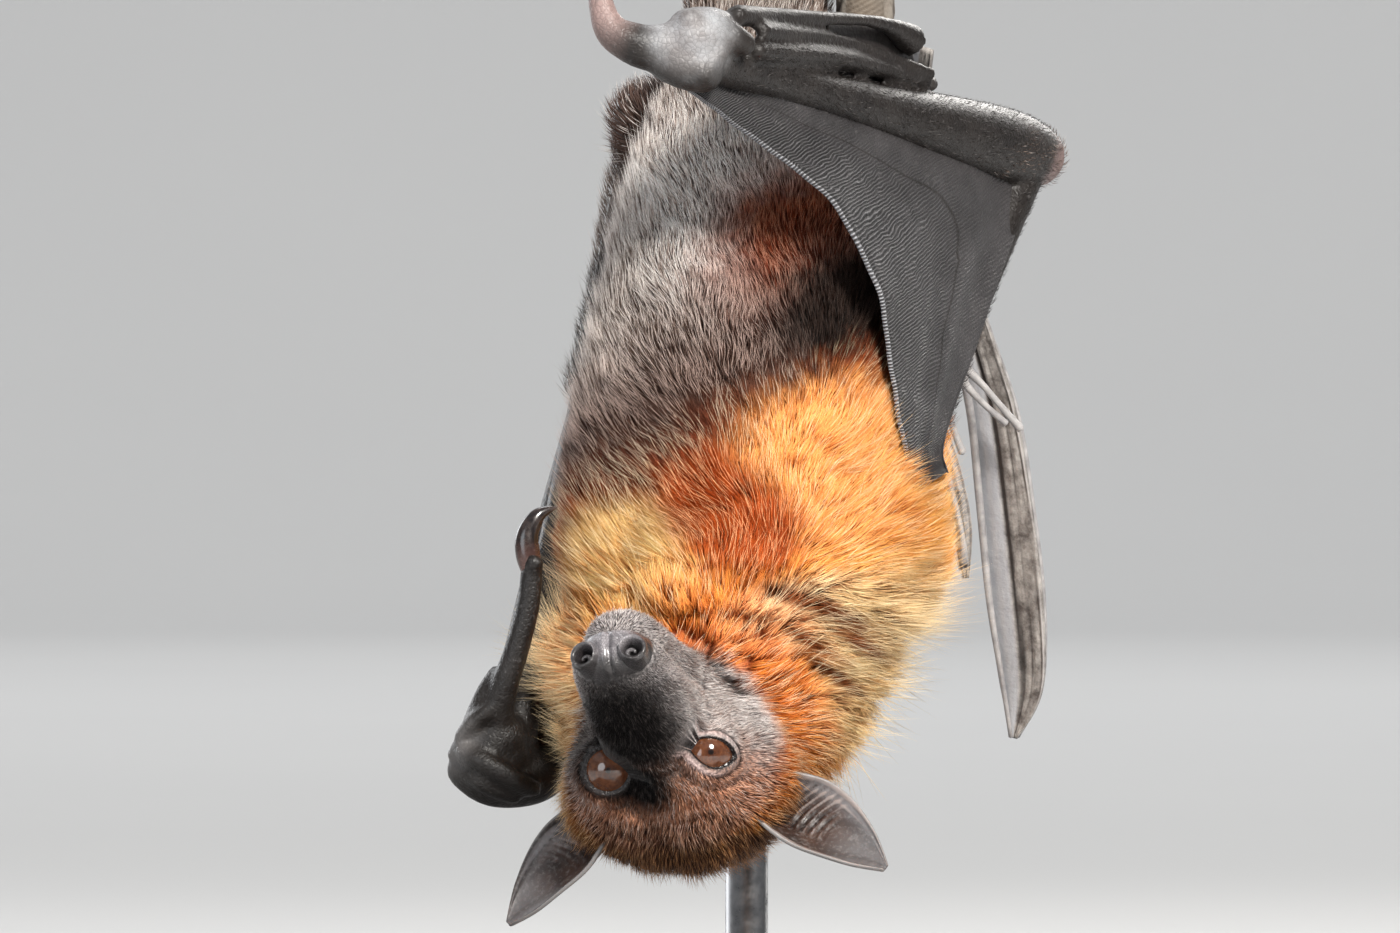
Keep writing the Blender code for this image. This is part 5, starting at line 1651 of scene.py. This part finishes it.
low, high = (np.array(corner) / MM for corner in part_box("stand_base"))
plinth = bmesh.new()
bmesh.ops.create_cube(plinth, size=1.0)
for vert in plinth.verts:
    vert.co = Vector((low + high) / 2 + np.array(vert.co) * (high - low)) * MM
top = [face for face in plinth.faces if face.normal.z > 0.5]
bmesh.ops.inset_region(plinth, faces=top, thickness=5 * MM, depth=0)
rim = [face for face in plinth.faces if face.normal.z > 0.5 and face is not top[0]]
outer = {vert for face in rim for vert in face.verts} - set(top[0].verts)
bmesh.ops.translate(plinth, verts=list(outer), vec=(0, 0, -3.5 * MM))
bmesh.ops.bevel(
    plinth, geom=plinth.edges, offset=1.1 * MM, segments=4, profile=0.5, affect="EDGES", material=-1
)
plinth_piece = new_object("stand_plinth", plinth, stand_paint, smooth=False)
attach(plinth_piece, "root")
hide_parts("stand_base")

low, high = (np.array(corner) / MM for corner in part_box("stand_rod"))
rod_middle = (low + high) / 2
COLLAR = [
    (0, 15.1), (10.5, 15.1), (10.9, 15.6), (10.9, 17.6), (10.3, 18.6),
    (7.2, 19.6), (6.4, 21.0), (6.2, 24.4), (5.6, 25.2),
]
ROD = COLLAR + [(4.95, 25.4), (4.95, high[2] - 1.2), (4.2, high[2] - 0.4), (0, high[2] - 0.4)]
rod_paint, tree, shader = new_material("rod_steel", 0.3, {"Metallic": 1.0})
brushed = noise(object_coordinates(tree), 380, 4)
steel = blend(remap(brushed, 0.3, 0.7), (0.20, 0.20, 0.205), (0.32, 0.32, 0.325))
dress(shader, steel, remap(brushed, 0.3, 0.7, 0.26, 0.42))
rod_piece = new_object("stand_post", spun(ROD, rod_middle, MM, steps=64, gap=1e-6), rod_paint)
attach(rod_piece, "root")
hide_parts("stand_rod")

# ---------------------------------------------------------------- the coat
# Solid tufts of hair grow over the furred skin, each rooted in the hide. Strokes of a brush,
# placed over the body, say which way the hair lies there, how long it is and how far it lifts.

HAIR_SHARE = 1.0
# Place, way of the lie, length and lift in degrees; on the body in world axes.
BODY_STROKES = [
    ((-5, -25, 200), (-0.35, -0.1, 1), 5.0, 33),
    ((-20, -30, 165), (-0.40, -0.1, 1), 5.4, 34),
    ((10, -30, 165), (-0.30, -0.1, 1), 5.4, 33),
    ((18, -22, 188), (-0.10, -0.1, 1), 5.0, 31),
    ((-38, 0, 160), (-0.25, 0.0, 1), 7.0, 32),
    ((-30, 0, 195), (-0.25, 0.0, 1), 6.5, 32),
    ((38, 0, 160), (0.25, 0.0, 1), 7.0, 30),
    ((30, 2, 195), (0.2, 0.0, 1), 6.5, 30),
    ((-32, -24, 124), (-0.6, -0.15, 0.8), 8.0, 38),
    ((-22, -32, 140), (-0.55, -0.15, 0.85), 7.5, 34),
    ((-8, -34, 128), (-0.8, -0.2, 0.45), 7.5, 30),
    ((8, -34, 140), (-0.15, -0.2, 0.9), 7.5, 32),
    ((25, -28, 150), (0.55, -0.15, 0.75), 7.5, 34),
    ((22, -30, 133), (0.55, -0.2, 0.5), 8.0, 32),
    ((40, -6, 138), (0.7, 0.0, 0.6), 8.0, 36),
    ((38, -12, 118), (0.95, 0.0, 0.1), 9.5, 36),
    ((38, -10, 104), (0.95, 0.0, -0.3), 11.0, 36),
    ((1, -33, 118), (0.1, -0.3, 1), 8.5, 34),
    ((2, -33, 110), (0.15, -0.3, 1), 10.0, 30),
    ((-14, -30, 112), (-0.35, -0.3, 0.9), 9.0, 34),
    ((15, -30, 103), (0.75, -0.25, -0.5), 10.0, 38),
    ((30, -10, 88), (0.85, 0.0, -0.45), 11.5, 42),
    ((24, -14, 76), (0.8, -0.1, -0.6), 10.0, 42),
    ((8, -30, 93), (0.5, -0.35, 0.5), 7.5, 46),
    ((-40, -14, 110), (-0.75, -0.2, 0.7), 10.0, 46),
    ((-43, -14, 95), (-1.0, -0.2, 0.15), 12.0, 46),
    ((-40, -14, 78), (-1.0, -0.25, -0.1), 9.5, 36),
    ((-32, -18, 66), (-0.7, -0.2, -0.6), 6.5, 34),
    ((0, 33, 150), (0.0, 0.1, 1), 9.0, 28),
    ((20, 28, 150), (0.12, 0.1, 1), 8.5, 28),
    ((-20, 28, 150), (-0.12, 0.1, 1), 8.5, 28),
    ((0, 28, 200), (0.0, 0.1, 1), 8.0, 28),
    ((0, 32, 115), (0.0, 0.2, 1), 11.0, 34),
    ((30, 20, 112), (0.35, 0.2, 0.9), 10.5, 34),
    ((-30, 20, 112), (-0.35, 0.2, 0.9), 10.5, 34),
    ((-9, 12, 84), (0.0, 0.4, 0.9), 11.0, 38),
    ((20, 10, 86), (0.6, 0.3, 0.5), 11.0, 40),
    ((-36, 8, 84), (-0.7, 0.3, 0.4), 11.0, 40),
    ((4, 24, 236), (0.0, 0.25, 1), 6.0, 28),
    ((4, -4, 238), (0.0, -0.1, 1), 5.5, 28),
    ((15, 40, 226), (0.3, 1.0, 0.2), 5.0, 28),
    ((-7, 40, 226), (-0.3, 1.0, 0.2), 5.0, 28),
    ((16, 42, 238), (0.1, -0.45, 1), 3.8, 24),
    ((-8, 44, 242), (-0.1, -0.25, 1), 3.8, 24),
    ((17, 22, 262), (0.1, -0.45, 1), 2.6, 22),
    ((-9, 38, 268), (-0.1, -0.2, 1), 2.6, 22),
    ((50, 34, 172), (0.35, 0.6, 0.8), 2.2, 22),
    ((58, 48, 192), (0.35, 0.6, 0.8), 1.7, 20),
    ((43, 20, 154), (0.5, 0.4, 0.7), 3.0, 24),
    ((66, 64, 211), (0.5, 0.5, 0.8), 2.6, 26),
    ((-24, 25, 168), (-0.2, 0.4, 1), 4.5, 26),
    ((-20, 45, 218), (-0.2, 0.4, 1), 4.5, 32),
    ((-34, 22, 150), (-0.3, -0.2, 1), 6.0, 30),
    ((-45, 6, 104), (-0.5, -0.3, 0.8), 5.0, 34),
    ((-22, 34, 216), (-0.5, 0.1, 0.8), 5.0, 40),
    ((-10, 26, 222), (-0.2, -0.2, 1), 4.5, 40),
    ((64, 58, 213), (0.4, 0.7, -0.1), 1.3, 20),
    ((45, 28, 217), (0.4, 0.7, -0.1), 1.5, 18),
    ((28, -2, 221), (0.4, 0.7, -0.1), 1.5, 18),
    ((9, -34, 226), (0.4, 0.7, -0.1), 1.4, 18),
    ((-8, -62, 230), (0.6, 0.6, 0.1), 1.0, 18),
]
# On the head the places and ways are to its right, forward and up; each lies on both sides.
HEAD_STROKES = [
    ((0, 31, -5), (0, -1, 0.2), 1.1, 18),
    ((9.5, 29, -12), (0.25, -1, 0.0), 1.2, 18),
    ((4, 18, 0), (0.05, -1, 0.25), 1.9, 18),
    ((12, 15, -9), (0.25, -1, 0.0), 2.0, 20),
    ((15, 4, -12), (0.3, -1, -0.1), 2.8, 22),
    ((19, -4, -6), (0.45, -1, -0.05), 3.8, 26),
    ((25, -13, -4), (0.6, -1, 0.0), 5.5, 32),
    ((22, -12, -16), (0.6, -1, -0.35), 6.0, 34),
    ((5, 7, 6), (0.1, -1, 0.35), 2.2, 20),
    ((12, 0, 11), (0.3, -0.9, 0.55), 2.7, 24),
    ((18, -7, 8), (0.6, -0.9, 0.35), 3.4, 27),
    ((0, -3, 12), (0.0, -1, 0.45), 3.4, 27),
    ((6, -14, 16), (0.15, -1, 0.25), 4.6, 34),
    ((18, -20, 12), (0.5, -1, 0.3), 4.8, 34),
    ((6, -27, 15), (0.15, -1, -0.05), 5.5, 38),
    ((0, -38, 6), (0.0, -1, -0.4), 7.0, 40),
    ((16, -34, 2), (0.5, -0.9, -0.2), 7.0, 40),
    ((23, -19, 6), (0.8, -0.4, 0.5), 5.0, 44),
    ((0, 25, -25), (0, -1, -0.15), 1.6, 20),
    ((9, 18, -24), (0.2, -1, -0.2), 2.0, 20),
    ((0, 6, -26), (0, -1, -0.2), 3.5, 26),
    ((13, 4, -22), (0.35, -1, -0.3), 3.6, 26),
]
strokes = list(BODY_STROKES)
for place, way, length, lift in HEAD_STROKES:
    for side in (1, -1) if place[0] else (1,):
        turned_way = np.array((side * way[0], way[1], way[2])) @ HEAD_AXES
        strokes.append((head_point(side * place[0], place[1], place[2]), turned_way, length, lift))
STROKE_PLACES = np.array([stroke[0] for stroke in strokes], float)
STROKE_WAYS = unit([stroke[1] for stroke in strokes])
STROKE_SIZES = np.array([stroke[2:] for stroke in strokes], float)


def combed(points):
    """The lie, the length and the lift of the hair at places in millimetres."""
    gaps = ((points[:, None] - STROKE_PLACES[None]) ** 2).sum(axis=2)
    weights = 1 / (gaps + 9.0) ** 2
    weights /= weights.sum(axis=1, keepdims=True)
    length, lift = (weights @ STROKE_SIZES).T
    return unit(weights @ STROKE_WAYS), length, np.radians(lift)


def ripple(points, spacing, seed):
    """A smooth uneven pattern through space, mostly between -1 and 1."""
    chance = np.random.default_rng(seed)
    total = 0
    for _ in range(5):
        way = unit(chance.normal(size=3)) * math.tau / spacing * chance.uniform(0.7, 1.4)
        total = total + np.sin(points @ way + chance.uniform(0, math.tau))
    return total / 2.2


# The bed that the hair grows from: where each triangle is, and how much hair it bears.
bmesh.ops.triangulate(fur_bed, faces=fur_bed.faces)
bed_points = np.array([v.co for v in fur_bed.verts]) / MM
fur_bed.normal_update()
bed_normals = np.array([v.normal for v in fur_bed.verts])
bed_corners = np.array([[v.index for v in face.verts] for face in fur_bed.faces])
fur_bed.free()
corner_points = bed_points[bed_corners]
bed_areas = np.linalg.norm(
    np.cross(corner_points[:, 1] - corner_points[:, 0], corner_points[:, 2] - corner_points[:, 0]), axis=1
) / 2
bed_middles = corner_points.mean(axis=1)
middles_on_head = (bed_middles - EYES_MIDDLE) @ HEAD_AXES.T
mouth_gap = line_distance(mirrored(middles_on_head), LIP_LINE)
nose_gap = np.linalg.norm((mirrored(middles_on_head) - NOSE_PAD) / (8.8, 6.4, 7.0), axis=1)
right_arm = [RIGHT_SHOULDER, *stations(RIGHT_ELBOW, RIGHT_WRIST, 0, 0.9)]
sparse = np.where(line_distance(bed_middles, right_arm) < 9.0, 0.4, 0.0)
growth = 1 - (1 - sparse) * bareness(bed_middles * MM)
growth *= ease(eye_clearance(middles_on_head) + 0.6 * (middles_on_head[:, 0] < 0), 0.5, 1.3)
growth *= ease(mouth_gap, 0.7, 1.4) * ease(nose_gap, 0.98, 1.12)

# The regions of the coat, of which each takes what the ones before it leave.
x, y, z = bed_middles.T
ahead = middles_on_head[:, 1]
on_skull = (ahead > -44) & (np.linalg.norm(middles_on_head[:, [0, 2]] - (0, -4), axis=1) < 29)
on_skull &= (z < 92) | (ahead > 4)
on_legs = ((y > 30) & (z > 212)) | (z > 252)
on_arms = (x > 44) | (line_distance(bed_middles, [LEFT_SHOULDER, LEFT_ELBOW, LEFT_WRIST]) < 9.5)
on_arms &= (z > 118) | (line_distance(bed_middles, [LEFT_ELBOW, LEFT_WRIST]) < 7.5)
on_arms |= line_distance(bed_middles, [RIGHT_SHOULDER, RIGHT_ELBOW, RIGHT_WRIST, RIGHT_KNUCKLES]) < 9.0
in_front = y < 6
ragged_height = z + 3.5 * ripple(bed_middles, 9, 21)
on_mantle = in_front & ((bed_middles - BORDER_PLACE) @ np.array(BORDER_WAY) / BORDER_WAY[2] < 3)
REGIONS = {}
free = np.ones(len(bed_middles), bool)
for name, chosen in (
    ("face", on_skull & (ahead > -6)),
    ("crown", on_skull),
    ("limbs", on_legs | on_arms),
    ("ruff_front", (ragged_height < 112) & in_front),
    ("ruff_back", ragged_height < 116),
    ("mantle_left", on_mantle & (x < -2)),
    ("mantle_right", on_mantle),
    ("belly", in_front),
    ("back", ~in_front),
):
    REGIONS[name] = chosen & free
    free &= ~chosen
REGIONS["ruff_sides"] = REGIONS["ruff_front"] & (abs(x + 4) > 29)


def unwrap_body(points):
    """Round the body and up it, as a patch of the hide would be laid out flat."""
    angle = np.arctan2(points[:, 1] + 2, points[:, 0]) / math.tau + 0.5
    return np.column_stack((angle, points[:, 2] / 310))


def unwrap_head(points):
    places = (points - EYES_MIDDLE) @ HEAD_AXES.T
    angle = np.arctan2(places[:, 2] + 6, places[:, 0]) / math.tau + 0.5
    return np.column_stack((angle, (places[:, 1] + 60) / 110))


def unwrap_limbs(points):
    """Each bone of a limb has its own strip, laid out by the way round it and along it."""
    bones = [
        bone
        for joints in (
            (RIGHT_SHOULDER, RIGHT_ELBOW, RIGHT_WRIST),
            (LEFT_SHOULDER, LEFT_ELBOW, LEFT_WRIST),
            (RIGHT_HIP, RIGHT_KNEE, RIGHT_ANKLE),
            (LEFT_HIP, LEFT_KNEE, LEFT_ANKLE),
        )
        for bone in zip(joints, joints[1:])
    ]
    strip = np.array([line_distance(points, bone) for bone in bones]).argmin(axis=0)
    starts = np.array([start for start, _ in bones], float)[strip]
    ways = unit(np.array([np.subtract(end, start) for start, end in bones], float))[strip]
    offsets = points - starts
    part = (offsets * ways).sum(axis=1)
    first = unit(np.cross(ways, (0.3, 0.2, 0.93)))
    second = np.cross(ways, first)
    angle = np.arctan2((offsets * second).sum(axis=1), (offsets * first).sum(axis=1)) / math.tau + 0.5
    return np.column_stack(((strip + 0.06 + 0.88 * angle) / 8, (part + 20) / 180))


# A tuft is a spindle: a point in the hide, a bend where it is thickest, and a long free tip.
BEND = 0.42
SHARES = [0.0, BEND, BEND, BEND, 1.0]
SPINDLE = [(0, 2, 1), (0, 3, 2), (0, 1, 3), (1, 2, 4), (2, 3, 4), (3, 1, 4)]
PATCH = np.column_stack(([0, -1, 0, 1, 0], [-1, 0, 0, 0, 1])) * 0.0015
GUARD, SHADE = "guard", "shade"


def grow_coat(name, region, count, thickness, lock, clump, guards, reach, seed, unwrap, slot):
    """One piece of the coat: count tufts over a region, gathered a little into locks."""
    chance = np.random.default_rng(seed)
    count = int(count * HAIR_SHARE)
    chosen = np.flatnonzero(REGIONS[region])
    share = np.cumsum(bed_areas[chosen] * growth[chosen])
    picks = (np.arange(count) + chance.random(count)) / count * share[-1]
    faces = chosen[np.minimum(np.searchsorted(share, picks), len(chosen) - 1)]
    corner = np.sqrt(chance.random(count))[:, None]
    slide = chance.random(count)[:, None]
    weights = np.hstack((1 - corner, corner * (1 - slide), corner * slide))[:, :, None]
    roots = (bed_points[bed_corners[faces]] * weights).sum(axis=1)
    normals = unit((bed_normals[bed_corners[faces]] * weights).sum(axis=1))

    ways, length, lift = combed(roots)
    guard = (chance.random(count) < guards).astype(float)
    swing = 0.26 * ripple(roots, 17, 5) + 0.20 * ripple(roots, 6, 6) + 0.20 * chance.normal(size=count)
    lift = lift * (1 + 0.18 * ripple(roots, 9, 7)) + 0.09 * chance.normal(size=count) + 0.12 * guard
    length = length * (1 + 0.10 * ripple(roots, 8, 8)) * chance.uniform(0.72, 1.18, count)
    length = length * (1 + reach * guard)
    lie = unit(ways - normals * (ways * normals).sum(axis=1, keepdims=True))
    lie = unit(lie * np.cos(swing)[:, None] + np.cross(normals, lie) * np.sin(swing)[:, None])
    lift = np.clip(lift, 0.12, 1.25)

    def point_at(part, rise):
        return roots + (length * part)[:, None] * (
            lie * np.cos(rise)[:, None] + normals * np.sin(rise)[:, None]
        )

    line = [point_at(part, lift * (1.25 - 0.42 * part)) for part in (BEND, 1.0)]
    guides = chance.choice(count, max(count // lock, 1), replace=False)
    tree = kdtree.KDTree(len(guides))
    for index, guide in enumerate(guides):
        tree.insert(roots[guide], index)
    tree.balance()
    nearest = guides[[tree.find(root)[1] for root in roots]]
    apart = np.linalg.norm(roots - roots[nearest], axis=1)
    apart = apart / apart.mean() - 1
    pull = (clump * chance.uniform(0.5, 1.2, count) * (1 - 0.6 * guard))[:, None]
    for step, part in enumerate((BEND, 1.0)):
        gathered = line[step][nearest] + (roots - roots[nearest]) * 0.3
        own_reach = np.linalg.norm(line[step] - roots, axis=1, keepdims=True)
        moved = line[step] + (gathered - line[step]) * pull * part**1.5
        line[step] = roots + unit(moved - roots) * own_reach

    # Hairs that would pass through a wing or into an eye are cut short or left out, and so are
    # some of those between two locks.
    bends, tips = line
    keep = eye_clearance((tips - EYES_MIDDLE) @ HEAD_AXES.T) > 0.3
    keep &= chance.random(count) > 3.2 * max(clump - 0.5, 0) * ease(apart, 0.25, 0.95)
    for index in np.flatnonzero(keep):
        root, way = Vector(roots[index]), Vector(tips[index] - roots[index])
        hit = membrane_tree.ray_cast((root + way * 0.02) * MM, way, way.length * MM * 1.05)
        if hit[0] is not None and hit[3] < way.length * MM * 1.05:
            cut = max(0.86 * hit[3] / MM / way.length, 0.05)
            keep[index] = cut > 0.25
            for ends in (bends, tips):
                ends[index] = roots[index] + (ends[index] - roots[index]) * cut
    roots, bends, tips = roots[keep], bends[keep], tips[keep]
    normals, guard, apart = normals[keep], guard[keep], apart[keep]
    count = len(roots)

    sides = unit(np.cross(tips - roots, normals))
    tops = unit(np.cross(sides, tips - roots))
    size = thickness * chance.uniform(0.75, 1.25, count) * (1 - 0.35 * guard)
    places = [roots - 0.3 * normals]
    for degrees in (90, 210, 330):
        across, over = math.cos(math.radians(degrees)), 0.6 * math.sin(math.radians(degrees))
        places.append(bends + size[:, None] * (across * sides + over * tops))
    places.append(tips)
    points = np.stack(places, axis=1)

    mesh = bpy.data.meshes.new(name)
    mesh.vertices.add(count * 5)
    mesh.vertices.foreach_set("co", (points * MM).ravel())
    mesh.loops.add(count * 18)
    all_loops = (np.arange(count)[:, None] * 5 + np.ravel(SPINDLE)).ravel()
    mesh.loops.foreach_set("vertex_index", all_loops)
    mesh.polygons.add(count * 6)
    mesh.polygons.foreach_set("loop_start", np.arange(count * 6) * 3)
    mesh.polygons.foreach_set("use_smooth", np.ones(count * 6, bool))
    mesh.update(calc_edges=True)

    shade = chance.normal(size=count) * 0.38 + 0.28 * ripple(roots, 5, seed + 1)
    # Tufts far from the middle of their lock are darkened and those near it lightened: painted shade in the
    # gaps between locks and painted light on the locks.
    shade = np.clip(shade - 0.8 * clump * apart * (1 - guard), -1, 1)
    for label, values in (
        (ALONG, np.tile(SHARES, count)),
        (SHADE, np.repeat(shade, 5)),
        (GUARD, np.repeat(guard, 5)),
    ):
        mesh.attributes.new(label, "FLOAT", "POINT").data.foreach_set("value", values)
    patch = unwrap(roots)[:, None] + PATCH[None]
    layer = mesh.uv_layers.new(name="OFBake")
    layer.data.foreach_set("uv", patch.reshape(-1, 2)[all_loops].ravel())
    mesh.materials.append(hair)
    piece = bpy.data.objects.new(name, mesh)
    bpy.context.scene.collection.objects.link(piece)
    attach(piece, "root")


# Hair is dark at the root and coloured at the tip, and the longer guard hairs have pale tips.
hair, tree, shader = new_material("hair", 0.46, {"Specular IOR Level": 0.16})
root, tip, guard_tip = markings(tree)
along, shade, guard = (attribute(tree, name) for name in (ALONG, SHADE, GUARD))
reach = plus(along, times(shade, 0.16))
colour = blend(remap(reach, 0.12, 0.72, smooth=True), root, tip)
# Shade darkens and lightens the tufts: partly a random tone, partly painted shade between locks and painted
# light on them.
darker = blend(1.0, colour, (0.56, 0.44, 0.38), "MULTIPLY")
colour = blend(remap(shade, 0.1, -0.9, 0.0, 0.85), colour, darker)
glow = blend(1.0, colour, (0.85, 0.80, 0.75), "MULTIPLY")
lighter = blend(1.0, colour, glow, "SCREEN")
colour = blend(remap(shade, 0.2, 1.0, 0.0, 0.8), colour, lighter)
bright_tip = times(guard, remap(along, 0.38, 0.6))
colour = blend(bright_tip, colour, guard_tip)
dress(shader, colour, remap(shade, -1, 1, 0.55, 0.40))

# Name, region, tufts, half width, tufts in a lock, clumping, share and reach of guard hairs,
# seed, unwrap and slot.
for name, region, *habit, unwrap, slot in (
    ("coat_face", "face", 33000, 0.080, 10, 0.22, 0.14, 0.35, 11, unwrap_head, "face_fur"),
    ("coat_crown", "crown", 25000, 0.090, 20, 0.46, 0.26, 0.35, 12, unwrap_head, "face_fur"),
    ("coat_limbs", "limbs", 24000, 0.080, 12, 0.15, 0.14, 0.30, 13, unwrap_limbs, "belly_fur"),
    ("coat_ruff", "ruff_front", 33000, 0.105, 56, 0.90, 0.06, 0.85, 14, unwrap_body, "mantle_fur"),
    ("coat_nape", "ruff_back", 15000, 0.150, 18, 0.40, 0.06, 0.35, 15, unwrap_body, "mantle_fur"),
    ("coat_mantle_left", "mantle_left", 29000, 0.105, 20, 0.50, 0.07, 0.30, 16, unwrap_body, "mantle_fur"),
    ("coat_mantle_right", "mantle_right", 33000, 0.105, 22, 0.52, 0.07, 0.30, 17, unwrap_body, "mantle_fur"),
    ("coat_belly", "belly", 33000, 0.100, 12, 0.26, 0.42, 0.30, 18, unwrap_body, "belly_fur"),
    ("coat_wisps", "ruff_sides", 1400, 0.060, 4, 0.10, 1.00, 0.80, 20, unwrap_body, "mantle_fur"),
    ("coat_back", "back", 25000, 0.150, 14, 0.35, 0.12, 0.25, 19, unwrap_body, "mantle_fur"),
):
    grow_coat(name, region, *habit, unwrap, slot)

# ---------------------------------------------------------------- sizes
low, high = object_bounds()
